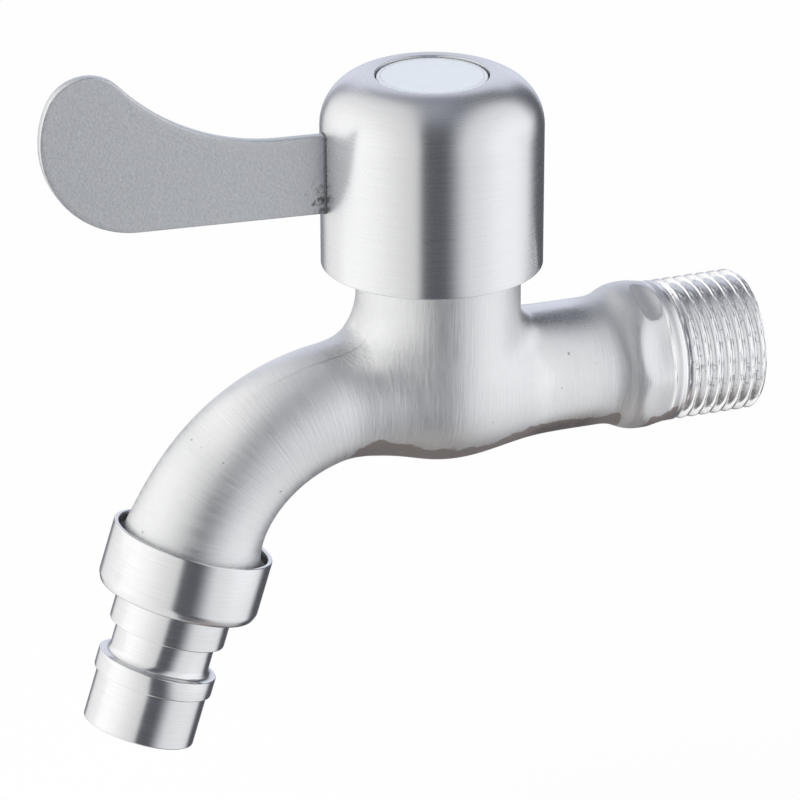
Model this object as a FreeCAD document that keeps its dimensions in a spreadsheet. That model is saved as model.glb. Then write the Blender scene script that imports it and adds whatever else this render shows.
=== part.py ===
import FreeCAD, Part
import os
import re
import Sketcher
from FreeCAD import Placement, Rotation, Vector

# Wall-mounted washing machine tap: a cast body with a quarter-turn ceramic cartridge in its neck,
# a turned handle cap with a welded lever plate, and a turned hose nozzle screwed onto the spout.
#
# Frame: millimetres. The origin is the centre of the inlet thread's end face, +X runs along the
# inlet pipe into the wall and +Z is up. The handle turns about a vertical axis that crosses the
# inlet axis; most pieces are drawn about that crossing and set back from the origin by inlet_reach.

doc = FreeCAD.newDocument("WashingMachineTap")

# Driving dimensions, in millimetres and degrees. Heights are measured from the inlet axis.
SIZES = [
    # inlet pipe and wall thread
    ("inlet_reach", 49.8, "inlet end face to the handle's axis"),
    ("thread_radius", 10.4775, "half of the 20.955 mm pipe thread, at the inlet and the spout"),
    ("thread_end_chamfer", 0.7, "chamfer at the inlet thread's end"),
    ("inlet_bore_radius", 7.5, "waterway through the inlet"),
    ("pipe_radius", 9.5, "inlet pipe outside"),
    ("collar_radius", 10.95, "wrench collar over its corners"),
    ("collar_flat_radius", 10.0, "wrench collar, axis to flat"),
    ("collar_blend_radius", 6.5, "arcs that flare the pipe into the collar"),
    ("collar_land", 1.2, "full-radius stretch of the collar"),
    ("collar_flat_end", 15.6, "flats' end to the inlet end face"),
    ("collar_slope_end", 14.4, "start of the plain cylinder to the inlet end face"),
    ("collar_slope_length", 2.8, "fall from the collar to the plain cylinder"),
    # belly and neck
    ("belly_radius", 11.0, "widest part of the belly"),
    ("belly_shift", 3.2, "belly's widest part, from the handle's axis towards the wall"),
    ("belly_crown_radius", 30.0, "outward arcs of the belly's side"),
    ("belly_spout_root_radius", 18.0, "inward arc where the belly meets the spout"),
    ("belly_wall_root_radius", 45.0, "inward arc where the belly meets the inlet pipe"),
    ("neck_radius", 12.06, "neck outside"),
    ("neck_shift", 1.0, "neck's casting centre from the handle's axis"),
    ("neck_top", 22.0, "top of the neck"),
    ("neck_dome_height", 1.26, "centre height of the round bottom under the neck"),
    ("neck_blend_radius", 3.0, "fillet where the pipes meet the neck"),
    # spout
    ("spout_bend_radius", 27.5, "bend of the spout's centre line"),
    ("spout_turn", 72.5, "angle that the spout turns down"),
    ("spout_radius", 8.67, "spout outside at the start of the bend"),
    ("spout_taper", 0.8, "growth of the spout's radius along the bend"),
    ("spout_flare", 0.9, "extra growth close to the mouth"),
    ("spout_bore_radius", 6.5, "waterway through the spout"),
    ("spout_thread_length", 5.6, "threaded end beyond the bend"),
    # valve chamber
    ("cartridge_thread_radius", 9.0, "cartridge thread in the neck"),
    ("cartridge_thread_bottom", 11.0, "lower end of the neck's thread"),
    ("chamber_radius", 8.5, "valve chamber"),
    ("seat_height", 4.5, "flat valve seat"),
    ("seat_bore_radius", 4.7, "hole in the seat and the well below it"),
    ("seat_wall", 2.0, "wall round the well"),
    ("well_bottom", -7.0, "floor of the well"),
    ("drain_bottom", -3.0, "lowest point of the ring-shaped way to the spout"),
    ("drain_angle", 170.0, "reach of that way round the well"),
    ("port_radius", 4.6, "port from the inlet bore to the well"),
    ("port_drop", 2.2, "port's axis below the inlet axis"),
    ("port_start", 15.0, "inner end of the inlet bore, from the handle's axis"),
    # fits
    ("thread_clearance", 0.03, "between a thread and its hole"),
    ("running_clearance", 0.06, "between the spindle and its bore"),
    ("lapped_clearance", 0.05, "between faces that slide on each other"),
    # cartridge
    ("gasket_thickness", 0.8, "flat gasket under the cartridge's flange"),
    ("flange_radius", 10.8, "cartridge flange"),
    ("flange_thickness", 2.2, "cartridge flange"),
    ("hex_across_flats", 17.0, "cartridge hexagon"),
    ("hex_height", 4.5, "cartridge hexagon"),
    ("barrel_radius", 6.4, "cartridge barrel above the hexagon"),
    ("barrel_height", 4.0, "cartridge barrel above the hexagon"),
    ("skirt_radius", 7.8, "cartridge skirt in the chamber"),
    ("skirt_bottom", 5.2, "lower edge of the skirt"),
    ("skirt_top", 12.5, "skirt to thread"),
    ("seal_height", 2.4, "rubber seal between seat and fixed disc"),
    ("backing_wall", 0.5, "backing ring inside the seal"),
    ("disc_radius", 6.8, "both ceramic discs"),
    ("disc_clearance", 0.1, "disc edge to the cartridge's wall"),
    ("disc_thickness", 2.4, "each ceramic disc"),
    ("disc_port_outer", 4.9, "outer edge of the fixed disc's ports"),
    ("disc_port_inner", 1.6, "inner edge of the ports"),
    ("disc_port_angle", 76.0, "angle of each port"),
    ("key_width", 2.4, "keys on the fixed disc"),
    ("key_depth", 0.9, "reach of the keys into the skirt"),
    ("window_height", 2.0, "side windows of the cartridge"),
    ("window_width", 8.4, "side windows of the cartridge"),
    ("driver_radius", 5.7, "spindle's driver above the moving disc"),
    ("driver_thickness", 2.4, "spindle's driver"),
    ("driver_key_depth", 1.2, "driver's key in the moving disc"),
    ("driver_key_width", 2.6, "driver's key"),
    ("driver_key_length", 9.0, "driver's key"),
    ("stop_angle", 40.0, "width of the driver's stop"),
    ("stop_margin", 1.5, "play beyond each end of the quarter turn"),
    ("quarter_turn", 90.0, "travel of the handle"),
    ("washer_thickness", 0.6, "slip washer over the driver"),
    ("spindle_radius", 4.0, "spindle"),
    ("oring_radius", 0.6, "section of the spindle's O-rings"),
    ("oring_groove_depth", 1.2, "O-ring grooves"),
    ("oring_lower_height", 18.4, "lower O-ring"),
    ("oring_spacing", 3.6, "between the two O-rings"),
    ("circlip_thickness", 0.7, "spindle circlip"),
    ("circlip_radius", 5.6, "spindle circlip outside"),
    ("circlip_groove_depth", 0.8, "circlip groove"),
    ("circlip_gap", 70.0, "mouth of the circlip, in degrees"),
    ("spline_radius", 3.9, "splined end of the spindle, over the teeth"),
    ("spline_depth", 0.4, "depth of a tooth"),
    ("spline_length", 7.0, "splined end"),
    ("spline_clearance", 0.05, "between the two splines"),
    ("spline_end_gap", 0.2, "spindle's end to the bush's end wall"),
    ("tooth_count", 20, "teeth of the spline"),
    # handle
    ("cap_bottom", 19.28, "lower edge of the cap"),
    ("cap_top", 48.03, "top of the cap"),
    ("cap_bottom_radius", 16.2, "cap outside at the lower edge"),
    ("cap_top_radius", 16.33, "cap outside below the shoulder"),
    ("cap_shoulder_radius", 7.6, "rounded shoulder"),
    ("cap_wall", 1.6, "cap wall"),
    ("cap_edge_round", 0.35, "rounding of the cap's lower edge"),
    ("recess_radius", 8.35, "recess in the top"),
    ("recess_depth", 3.4, "recess in the top"),
    ("recess_floor", 1.4, "floor of the recess"),
    ("screw_way_radius", 4.4, "hole in the recess floor"),
    ("boss_wall", 1.2, "wall of the boss under the recess"),
    ("bush_radius", 6.5, "splined bush in the boss"),
    ("bush_length", 8.0, "splined bush"),
    ("bush_end_wall", 1.0, "end wall under the screw"),
    ("disc_gap", 0.2, "index disc to the recess wall"),
    ("index_disc_thickness", 1.2, "face of the index disc"),
    ("index_disc_sink", 0.1, "index disc below the cap's top"),
    ("index_rim_wall", 0.8, "rim under the index disc"),
    ("screw_radius", 1.96, "handle screw's thread"),
    ("screw_head_radius", 3.7, "handle screw's head"),
    ("screw_head_height", 2.2, "handle screw's head"),
    ("screw_length", 9.0, "handle screw under the head"),
    ("screw_cross_width", 0.9, "cross recess"),
    ("screw_cross_length", 4.2, "cross recess"),
    ("screw_cross_depth", 1.2, "cross recess"),
    ("screw_hole_radius", 2.0, "tapped hole in the spindle"),
    ("lock_washer_thickness", 0.9, "spring washer under the screw head"),
    # lever plate
    ("lever_thickness", 1.6, "lever plate"),
    ("lever_angle", 6.0, "lever's turn off the spout's plane"),
    ("lever_bottom", 28.54, "straight lower edge"),
    ("lever_top", 40.47, "straight upper edge at the cap"),
    ("lever_straight", 44.2, "handle's axis to the end of the lower edge"),
    ("lever_end_radius", 14.5, "large arc of the lever's end"),
    ("lever_end_angle", 23.4, "where the large arc ends, above level"),
    ("lever_tip_radius", 6.55, "small arc of the lever's tip"),
    ("lever_tip_angle", 136.5, "where the small arc ends"),
    ("lever_edge_round", 0.2, "broken edges of the plate"),
    # hose nozzle, along its axis from the collar's rim
    ("nozzle_cover", 0.71, "collar's rim above the end of the spout's bend"),
    ("nozzle_collar_radius", 12.0, "collar"),
    ("nozzle_collar_length", 9.7, "collar"),
    ("nozzle_collar_round", 1.5, "lower edge of the collar"),
    ("nozzle_mouth_radius", 11.3, "opening of the collar"),
    ("nozzle_mouth_depth", 1.6, "plain mouth above the thread"),
    ("nozzle_floor", 8.2, "rim to the washer's seat"),
    ("nozzle_neck_radius", 8.65, "cylinder under the collar"),
    ("nozzle_neck_end", 14.5, "rim to the groove"),
    ("nozzle_groove_radius", 7.42, "connector groove"),
    ("nozzle_cove", 0.9, "cove between groove and ring"),
    ("nozzle_ring_radius", 8.85, "ring below the groove"),
    ("nozzle_ring_start", 19.3, "rim to the ring"),
    ("nozzle_ring_end", 22.2, "rim to the ring's lower edge"),
    ("nozzle_tail_radius", 8.3, "hose end"),
    ("nozzle_length", 30.0, "rim to the hose end's face"),
    ("nozzle_edge_round", 0.35, "broken edges of the nozzle"),
    ("nozzle_bore_radius", 6.0, "waterway of the nozzle"),
    ("nozzle_washer_inner", 6.4, "hole of the flat washer"),
]

sheet = doc.addObject("Spreadsheet::Sheet", "Sizes")
for row, (word, number, meaning) in enumerate(SIZES, start=1):
    sheet.set(f"A{row}", word)
    sheet.set(f"B{row}", str(number))
    sheet.setAlias(f"B{row}", word)
    sheet.set(f"C{row}", meaning)
doc.recompute()
WORDS = {word for word, number, meaning in SIZES}


def linked(formula):
    """The formula with each of the sheet's words turned into a reference to its cell."""
    return re.sub(r"[a-z][a-z_]+", lambda word: "<<Sizes>>." + word[0] if word[0] in WORDS else word[0],
                  str(formula))


def size(formula):
    """A formula's present value."""
    return float(sheet.evalExpression(linked(formula)))


def s_curve(low, high, convex, concave):
    """Half width of a smooth step between two radii made of two arcs that share a tangent,
    and the share of it on the convex side: formulas for width, turning point and its radius."""
    cosine = f"(1 - ({high} - {low}) / ({convex} + {concave}))"
    sine = f"sqrt(1 - {cosine} ^ 2)"
    width = f"(({convex} + {concave}) * {sine})"
    turning = f"({convex} * {sine})"
    turning_radius = f"({high} - {convex} * (1 - {cosine}))"
    return width, turning, turning_radius


# Edges are picked for rounding by where they lie: closer than these counts as the same place
SAME_HEIGHT = 1e-4
SAME_PLACE = 1e-3
ON_SURFACE = 1e-2

# Heights and places that several pieces share, as formulas of the sheet's words
WELL_WALL = "(seat_bore_radius + seat_wall)"
FLANGE_BOTTOM = "(neck_top + gasket_thickness)"
HEX_BOTTOM = f"({FLANGE_BOTTOM} + flange_thickness)"
BARREL_BOTTOM = f"({HEX_BOTTOM} + hex_height)"
BARREL_TOP = f"({BARREL_BOTTOM} + barrel_height)"
FIXED_DISC_BOTTOM = "(seat_height + seal_height)"
MOVING_DISC_BOTTOM = f"({FIXED_DISC_BOTTOM} + disc_thickness + lapped_clearance)"
DRIVER_BOTTOM = f"({MOVING_DISC_BOTTOM} + disc_thickness)"
DRIVER_TOP = f"({DRIVER_BOTTOM} + driver_thickness)"
WASHER_BOTTOM = f"({DRIVER_TOP} + lapped_clearance)"
CAVITY_TOP = f"({WASHER_BOTTOM} + washer_thickness)"
CAVITY_RADIUS = "(disc_radius + disc_clearance)"
RECESS_BOTTOM = "(cap_top - recess_depth)"
BUSH_TOP = f"({RECESS_BOTTOM} - recess_floor)"
BUSH_BOTTOM = f"({BUSH_TOP} - bush_length)"
SPLINE_TOP = f"({BUSH_TOP} - bush_end_wall - spline_end_gap)"
SPLINE_BOTTOM = f"({SPLINE_TOP} - spline_length)"
HEAD_BOTTOM = f"({BUSH_TOP} + lock_washer_thickness)"
NOZZLE_TILT = "(90 - spout_turn)"
SPOUT_SIDE = s_curve("spout_radius", "belly_radius", "belly_crown_radius", "belly_spout_root_radius")
WALL_SIDE = s_curve("pipe_radius", "belly_radius", "belly_crown_radius", "belly_wall_root_radius")
BEND_START = f"({SPOUT_SIDE[0]} - belly_shift)"
BEND_END = f"({BEND_START} + spout_bend_radius * sin(spout_turn))"
BEND_DROP = "(spout_bend_radius * (1 - cos(spout_turn)))"


def new_body(name):
    """A body about the handle's axis."""
    body = doc.addObject("PartDesign::Body", name)
    body.Label = name
    body.setExpression("Placement.Base.x", linked("-inlet_reach"))
    return body


def sketch_on(body, plane, name, across="0", up="0", out="0"):
    """A sketch on one of the body's origin planes, moved by formulas along its own three axes."""
    sketch = body.newObject("Sketcher::SketchObject", name)
    support = next(item for item in body.Origin.OriginFeatures if item.Role == plane)
    sketch.AttachmentSupport = [(support, "")]
    sketch.MapMode = "FlatFace"
    for axis, formula in (("x", across), ("y", up), ("z", out)):
        if formula != "0":
            sketch.setExpression(f"AttachmentOffset.Base.{axis}", linked(formula))
    return sketch


def hold(sketch, geometry, end, across, up):
    """Fix one end of a line or arc at a place given by two formulas."""
    for kind, axis, formula in (("DistanceX", -2, across), ("DistanceY", -1, up)):
        if str(formula) == "0":
            sketch.addConstraint(Sketcher.Constraint("PointOnObject", geometry, end, axis))
        else:
            row = sketch.addConstraint(
                Sketcher.Constraint(kind, -1, 1, geometry, end, size(formula)))
            sketch.setExpression(f"Constraints[{row}]", linked(formula))


def arc_between(start, end, radius, side):
    """The shorter arc of a radius from start to end; side 1 bulges left of the way, -1 right."""
    chord = end - start
    half = chord.Length / 2
    left = Vector(-chord.y, chord.x, 0).normalize()
    sag = radius - (radius ** 2 - half ** 2) ** 0.5
    middle = (start + end) * 0.5 + left * (side * sag)
    return Part.ArcOfCircle(start, middle, end) if side < 0 else Part.ArcOfCircle(end, middle, start)


def outline(sketch, corners, closed=True):
    """An outline through corners (across, up). A corner may add the radius of the arc that leaves it
    and the arc's side: 1 bulges left of the way and -1 right."""
    places = [Vector(size(corner[0]), size(corner[1]), 0) for corner in corners]
    count = len(corners) if closed else len(corners) - 1
    ends = []
    for index in range(count):
        start = places[index]
        end = places[(index + 1) % len(corners)]
        if len(corners[index]) == 2:
            sketch.addGeometry(Part.LineSegment(start, end))
            ends.append((1, 2))
        else:
            arc = arc_between(start, end, size(corners[index][2]), corners[index][3])
            number = sketch.addGeometry(arc)
            row = sketch.addConstraint(Sketcher.Constraint("Radius", number, arc.Radius))
            sketch.setExpression(f"Constraints[{row}]", linked(corners[index][2]))
            ends.append((1, 2) if corners[index][3] < 0 else (2, 1))
    first = sketch.GeometryCount - count
    for index in range(count):
        hold(sketch, first + index, ends[index][0], corners[index][0], corners[index][1])
        following = (index + 1) % count
        if closed or following:
            sketch.addConstraint(Sketcher.Constraint(
                "Coincident", first + index, ends[index][1], first + following, ends[following][0]))
    if not closed:
        hold(sketch, first + count - 1, ends[-1][1], corners[-1][0], corners[-1][1])


def circle(sketch, radius, across="0", up="0"):
    """A circle in a sketch."""
    number = sketch.addGeometry(Part.Circle(Vector(size(across), size(up), 0), Vector(0, 0, 1), size(radius)))
    hold(sketch, number, 3, across, up)
    row = sketch.addConstraint(Sketcher.Constraint("Radius", number, size(radius)))
    sketch.setExpression(f"Constraints[{row}]", linked(radius))


def rectangle(sketch, left, right, low, high):
    """A rectangle from four formulas."""
    outline(sketch, [(left, low), (right, low), (right, high), (left, high)])


def polygon(sketch, sides, flat_radius, turn=0.0):
    """A regular polygon about the sketch's origin, with the distance from centre to flat."""
    reach = f"{flat_radius} / cos({180 / sides})"
    corners = []
    for side in range(sides):
        angle = turn + 360 * side / sides
        corners.append((f"{reach} * cos({angle})", f"{reach} * sin({angle})"))
    outline(sketch, corners)


def feature(body, kind, name, sketch, **settings):
    """A sketch-based feature with its settings; text settings are formulas."""
    made = body.newObject("PartDesign::" + kind, name)
    made.Profile = sketch
    for key, setting in settings.items():
        if isinstance(setting, str) and key in ("Length", "Angle", "Length2"):
            made.setExpression(key, linked(setting))
        else:
            setattr(made, key, setting)
    sketch.Visibility = False
    body.Tip = made
    return made


def turned(body, name, corners, axis="V_Axis", kind="Revolution", plane="XZ_Plane", angle="360", **offset):
    """An outline turned about one of the sketch's own axes."""
    sketch = sketch_on(body, plane, name + "Outline", **offset)
    outline(sketch, corners)
    return feature(body, kind, name, sketch, ReferenceAxis=(sketch, [axis]), Angle=angle,
                   Midplane=angle != "360")


def around(body, name, repeated, count):
    """A feature repeated round the body's vertical axis; count is a number or a formula."""
    pattern = body.newObject("PartDesign::PolarPattern", name)
    pattern.Originals = [repeated]
    upright = next(item for item in body.Origin.OriginFeatures if item.Role == "Z_Axis")
    pattern.Axis = (upright, [""])
    pattern.Angle = 360
    if isinstance(count, str):
        pattern.setExpression("Occurrences", linked(count))
    else:
        pattern.Occurrences = count
    body.Tip = pattern
    return pattern


def edges_where(shape, test):
    """The names of a shape's edges that pass a test."""
    return [f"Edge{number}" for number, edge in enumerate(shape.Edges, start=1) if test(edge)]


def rounded(body, name, radius, test, kind="Fillet"):
    """A fillet or chamfer on the edges of the body's last feature that pass a test."""
    doc.recompute()
    last = body.Tip
    names = edges_where(last.Shape, test)
    made = body.newObject("PartDesign::" + kind, name)
    made.Base = (last, names)
    made.setExpression("Radius" if kind == "Fillet" else "Size", linked(radius))
    body.Tip = made
    return made


def at_height(formula, radius=None):
    """A test for round edges that lie flat at a height, and have a radius if one is given."""
    def test(edge):
        box = edge.BoundBox
        flat = box.ZLength < SAME_HEIGHT and abs(box.ZMin - size(formula)) < SAME_PLACE
        if not flat or not hasattr(edge.Curve, "Radius"):
            return False
        return radius is None or abs(edge.Curve.Radius - size(radius)) < SAME_PLACE
    return test


# Cast body
tap_body = new_body("tap_body")

flare = s_curve("pipe_radius", "collar_radius", "collar_blend_radius", "collar_blend_radius")
land_end = "(inlet_reach - collar_slope_end - collar_slope_length)"
land_start = f"({land_end} - collar_land)"
turned(tap_body, "InletPipe", [
    (f"-{BEND_START}", "0"),
    (f"-{BEND_START}", "spout_radius", "belly_spout_root_radius", -1),
    (f"belly_shift - {SPOUT_SIDE[1]}", SPOUT_SIDE[2], "belly_crown_radius", 1),
    ("belly_shift", "belly_radius", "belly_crown_radius", 1),
    (f"belly_shift + {WALL_SIDE[1]}", WALL_SIDE[2], "belly_wall_root_radius", -1),
    (f"belly_shift + {WALL_SIDE[0]}", "pipe_radius"),
    (f"{land_start} - {flare[0]}", "pipe_radius", "collar_blend_radius", -1),
    (f"{land_start} - {flare[1]}", flare[2], "collar_blend_radius", 1),
    (land_start, "collar_radius"),
    (land_end, "collar_radius"),
    ("inlet_reach - collar_slope_end", "thread_radius"),
    ("inlet_reach - thread_end_chamfer", "thread_radius"),
    ("inlet_reach", "thread_radius - thread_end_chamfer"),
    ("inlet_reach", "0"),
], axis="H_Axis")

# Eight flats, cut square to the pipe into the flare and the collar
flats = sketch_on(tap_body, "YZ_Plane", "CollarFlatsOutline", out="inlet_reach - collar_flat_end")
circle(flats, "collar_radius + 2")
polygon(flats, 8, "collar_flat_radius")
flat_length = f"inlet_reach - collar_flat_end - {land_start} + {flare[0]}"
feature(tap_body, "Pocket", "CollarFlats", flats, Length=flat_length)


def spout_ring(share):
    """A round section of the spout; share is 0 at the start of the bend and 1 at its end."""
    turn = f"(spout_turn * {share})"
    ring = sketch_on(tap_body, "YZ_Plane", f"SpoutRing{round(share * 1000)}",
                     up=f"-spout_bend_radius * (1 - cos({turn}))",
                     out=f"-{BEND_START} - spout_bend_radius * sin({turn})")
    ring.AttachmentOffset = Placement(Vector(0, 0, 0), Rotation(Vector(1, 0, 0), -1))
    ring.setExpression("AttachmentOffset.Rotation.Angle", linked(f"-{turn}"))
    circle(ring, f"spout_radius + spout_taper * {share} + spout_flare * {share} ^ 8")
    return ring


# The sections crowd towards the mouth, where the spout flares
SPOUT_RINGS = 7
shares = [size(f"sin(90 * {ring} / {SPOUT_RINGS - 1})") for ring in range(SPOUT_RINGS)]
rings = [spout_ring(round(share, 4)) for share in shares]
feature(tap_body, "AdditiveLoft", "Spout", rings[0], Sections=rings[1:])

# The neck with its round bottom, and the spout's threaded end
turned(tap_body, "Neck", [
    ("0", "neck_dome_height - neck_radius", "neck_radius", -1),
    ("neck_radius", "neck_dome_height"),
    ("neck_radius", "neck_top"),
    ("0", "neck_top"),
], across="neck_shift")

mouth = sketch_on(tap_body, "YZ_Plane", "SpoutThreadOutline", up=f"-{BEND_DROP}", out=f"-{BEND_END}")
mouth.AttachmentOffset = Placement(Vector(0, 0, 0), Rotation(Vector(1, 0, 0), -1))
mouth.setExpression("AttachmentOffset.Rotation.Angle", linked("-spout_turn"))
circle(mouth, "thread_radius")
feature(tap_body, "Pad", "SpoutThread", mouth, Length="spout_thread_length", Reversed=True)


def on_neck(edge):
    """Edges where the neck or its round bottom meets the belly."""
    if isinstance(edge.Curve, (Part.Circle, Part.Line)):
        return False
    radius = size("neck_radius")
    for share in (0.2, 0.5, 0.8):
        first, last = edge.ParameterRange
        point = edge.valueAt(first + share * (last - first))
        point.x -= size("neck_shift")
        point.z = min(point.z - size("neck_dome_height"), 0)
        if abs(point.Length - radius) > ON_SURFACE:
            return False
    return True


rounded(tap_body, "NeckBlend", "neck_blend_radius", on_neck)

# Bores: the neck's thread, the chamber, the seat and the well in one, then the ways in and out
turned(tap_body, "Chamber", [
    ("0", "well_bottom"),
    ("seat_bore_radius", "well_bottom"),
    ("seat_bore_radius", "seat_height"),
    ("chamber_radius", "seat_height"),
    ("chamber_radius", "cartridge_thread_bottom"),
    ("cartridge_thread_radius + thread_clearance", "cartridge_thread_bottom"),
    ("cartridge_thread_radius + thread_clearance", "neck_top + 1"),
    ("0", "neck_top + 1"),
], kind="Groove")
turned(tap_body, "DrainWay", [
    (f"-{WELL_WALL}", "drain_bottom"),
    ("-chamber_radius", "drain_bottom"),
    ("-chamber_radius", "seat_height + 1"),
    (f"-{WELL_WALL}", "seat_height + 1"),
], kind="Groove", angle="drain_angle")
turned(tap_body, "InletBore", [
    ("port_start - port_radius", "0"),
    ("port_start", "inlet_bore_radius"),
    ("inlet_reach + 1", "inlet_bore_radius"),
    ("inlet_reach + 1", "0"),
], axis="H_Axis", kind="Groove")
turned(tap_body, "Port", [
    ("0", "0"),
    ("0", "port_radius"),
    ("port_start", "port_radius"),
    ("port_start", "0"),
], axis="H_Axis", kind="Groove", up="-port_drop")

spout_way = sketch_on(tap_body, "XZ_Plane", "SpoutBorePath")
outline(spout_way, [
    (f"-{WELL_WALL} - thread_clearance", "0"),
    (f"-{BEND_START}", "0", "spout_bend_radius", -1),
    (f"-{BEND_END}", f"-{BEND_DROP}"),
    (f"-{BEND_END} - (spout_thread_length + 1) * sin{NOZZLE_TILT}",
     f"-{BEND_DROP} - (spout_thread_length + 1) * cos{NOZZLE_TILT}"),
], closed=False)
spout_hole = sketch_on(tap_body, "YZ_Plane", "SpoutBoreOutline", out=f"-{WELL_WALL} - thread_clearance")
circle(spout_hole, "spout_bore_radius")
spout_bore = tap_body.newObject("PartDesign::SubtractivePipe", "SpoutBore")
spout_bore.Profile = spout_hole
spout_bore.Spine = spout_way
tap_body.Tip = spout_bore


# Quarter-turn cartridge in the neck
cartridge = new_body("cartridge_housing")
turned(cartridge, "Housing", [
    ("spindle_radius + running_clearance", BARREL_TOP),
    ("barrel_radius", BARREL_TOP),
    ("barrel_radius", HEX_BOTTOM),
    ("flange_radius", HEX_BOTTOM),
    ("flange_radius", FLANGE_BOTTOM),
    ("cartridge_thread_radius", FLANGE_BOTTOM),
    ("cartridge_thread_radius", "skirt_top"),
    ("skirt_radius", "skirt_top"),
    ("skirt_radius", "skirt_bottom"),
    (CAVITY_RADIUS, "skirt_bottom"),
    (CAVITY_RADIUS, f"{DRIVER_BOTTOM} + disc_clearance"),
    ("driver_radius + disc_clearance", f"{DRIVER_BOTTOM} + disc_clearance"),
    ("driver_radius + disc_clearance", CAVITY_TOP),
    ("spindle_radius + running_clearance", CAVITY_TOP),
])
hexagon = sketch_on(cartridge, "XY_Plane", "HexagonOutline", out=HEX_BOTTOM)
polygon(hexagon, 6, "hex_across_flats / 2")
circle(hexagon, "spindle_radius + running_clearance")
feature(cartridge, "Pad", "Hexagon", hexagon, Length="hex_height")

# The driver's stop travels in this sector, so it sets the quarter turn
turned(cartridge, "StopTravel", [
    ("driver_radius", f"{DRIVER_BOTTOM} - disc_clearance"),
    (CAVITY_RADIUS, f"{DRIVER_BOTTOM} - disc_clearance"),
    (CAVITY_RADIUS, CAVITY_TOP),
    ("driver_radius", CAVITY_TOP),
], kind="Groove", angle="stop_angle + quarter_turn + 2 * stop_margin")

windows = sketch_on(cartridge, "YZ_Plane", "WindowsOutline")
rectangle(windows, "-window_width / 2", "window_width / 2",
          MOVING_DISC_BOTTOM, f"{MOVING_DISC_BOTTOM} + window_height")
feature(cartridge, "Pocket", "Windows", windows, Length="3 * skirt_radius", Midplane=True)
slots = sketch_on(cartridge, "XZ_Plane", "KeySlotsOutline")
rectangle(slots, "-key_width / 2 - disc_clearance", "key_width / 2 + disc_clearance",
          "skirt_bottom - 1", f"{FIXED_DISC_BOTTOM} + disc_thickness + disc_clearance")
feature(cartridge, "Pocket", "KeySlots", slots, Length="3 * skirt_radius", Midplane=True)

gasket = new_body("housing_gasket")
turned(gasket, "Gasket", [
    ("cartridge_thread_radius + 3 * disc_clearance", "neck_top"),
    ("flange_radius - disc_clearance", "neck_top"),
    ("flange_radius - disc_clearance", FLANGE_BOTTOM),
    ("cartridge_thread_radius + 3 * disc_clearance", FLANGE_BOTTOM),
])

seal = new_body("seat_seal")
turned(seal, "Seal", [
    ("seat_bore_radius + lapped_clearance", "seat_height"),
    (f"{WELL_WALL} - disc_clearance", "seat_height"),
    (f"{WELL_WALL} - disc_clearance", FIXED_DISC_BOTTOM),
    ("seat_bore_radius + lapped_clearance", FIXED_DISC_BOTTOM),
])

backing = new_body("seal_backing_ring")
turned(backing, "BackingRing", [
    ("seat_bore_radius - backing_wall", "seat_height + disc_clearance"),
    ("seat_bore_radius + lapped_clearance", "seat_height + disc_clearance"),
    ("seat_bore_radius + lapped_clearance", f"{FIXED_DISC_BOTTOM} - disc_clearance"),
    ("seat_bore_radius - backing_wall", f"{FIXED_DISC_BOTTOM} - disc_clearance"),
])


def sector(sketch, inner, outer, angle, turn):
    """A ring sector between two radii, centred on a direction in degrees."""
    ends = [f"({turn} - ({angle}) / 2)", f"({turn} + ({angle}) / 2)"]
    outline(sketch, [
        (f"({inner}) * cos{ends[0]}", f"({inner}) * sin{ends[0]}"),
        (f"({outer}) * cos{ends[0]}", f"({outer}) * sin{ends[0]}", outer, -1),
        (f"({outer}) * cos{ends[1]}", f"({outer}) * sin{ends[1]}"),
        (f"({inner}) * cos{ends[1]}", f"({inner}) * sin{ends[1]}", inner, 1),
    ])


# Lapped ceramic discs: the fixed one has two ports, the moving one two open cut-outs
fixed_disc = new_body("fixed_ceramic_disc")
blank = sketch_on(fixed_disc, "XY_Plane", "FixedDiscOutline", out=FIXED_DISC_BOTTOM)
circle(blank, "disc_radius")
feature(fixed_disc, "Pad", "FixedDisc", blank, Length="disc_thickness")
keys = sketch_on(fixed_disc, "XY_Plane", "KeysOutline", out=FIXED_DISC_BOTTOM)
rectangle(keys, "-key_width / 2", "key_width / 2", "-disc_radius - key_depth", "disc_radius + key_depth")
feature(fixed_disc, "Pad", "Keys", keys, Length="disc_thickness")
ports = sketch_on(fixed_disc, "XY_Plane", "PortsOutline", out=FIXED_DISC_BOTTOM)
sector(ports, "disc_port_inner", "disc_port_outer", "disc_port_angle", 0)
sector(ports, "disc_port_inner", "disc_port_outer", "disc_port_angle", 180)
feature(fixed_disc, "Pocket", "Ports", ports, Length="disc_thickness", Reversed=True)

moving_disc = new_body("moving_ceramic_disc")
blank = sketch_on(moving_disc, "XY_Plane", "MovingDiscOutline", out=MOVING_DISC_BOTTOM)
circle(blank, "disc_radius")
feature(moving_disc, "Pad", "MovingDisc", blank, Length="disc_thickness")
cuts = sketch_on(moving_disc, "XY_Plane", "CutOutsOutline", out=MOVING_DISC_BOTTOM)
sector(cuts, "disc_port_inner", "disc_radius + 1", "disc_port_angle", 90)
sector(cuts, "disc_port_inner", "disc_radius + 1", "disc_port_angle", 270)
feature(moving_disc, "Pocket", "CutOuts", cuts, Length="disc_thickness", Reversed=True)
keyway = sketch_on(moving_disc, "XY_Plane", "KeywayOutline", out=DRIVER_BOTTOM)
rectangle(keyway, "-disc_radius - 1", "disc_radius + 1",
          "-driver_key_width / 2 - lapped_clearance", "driver_key_width / 2 + lapped_clearance")
feature(moving_disc, "Pocket", "Keyway", keyway, Length="driver_key_depth + lapped_clearance")

# Spindle: driver with key and stop, two O-ring grooves, a circlip groove and a splined end
spindle = new_body("spindle")


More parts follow.
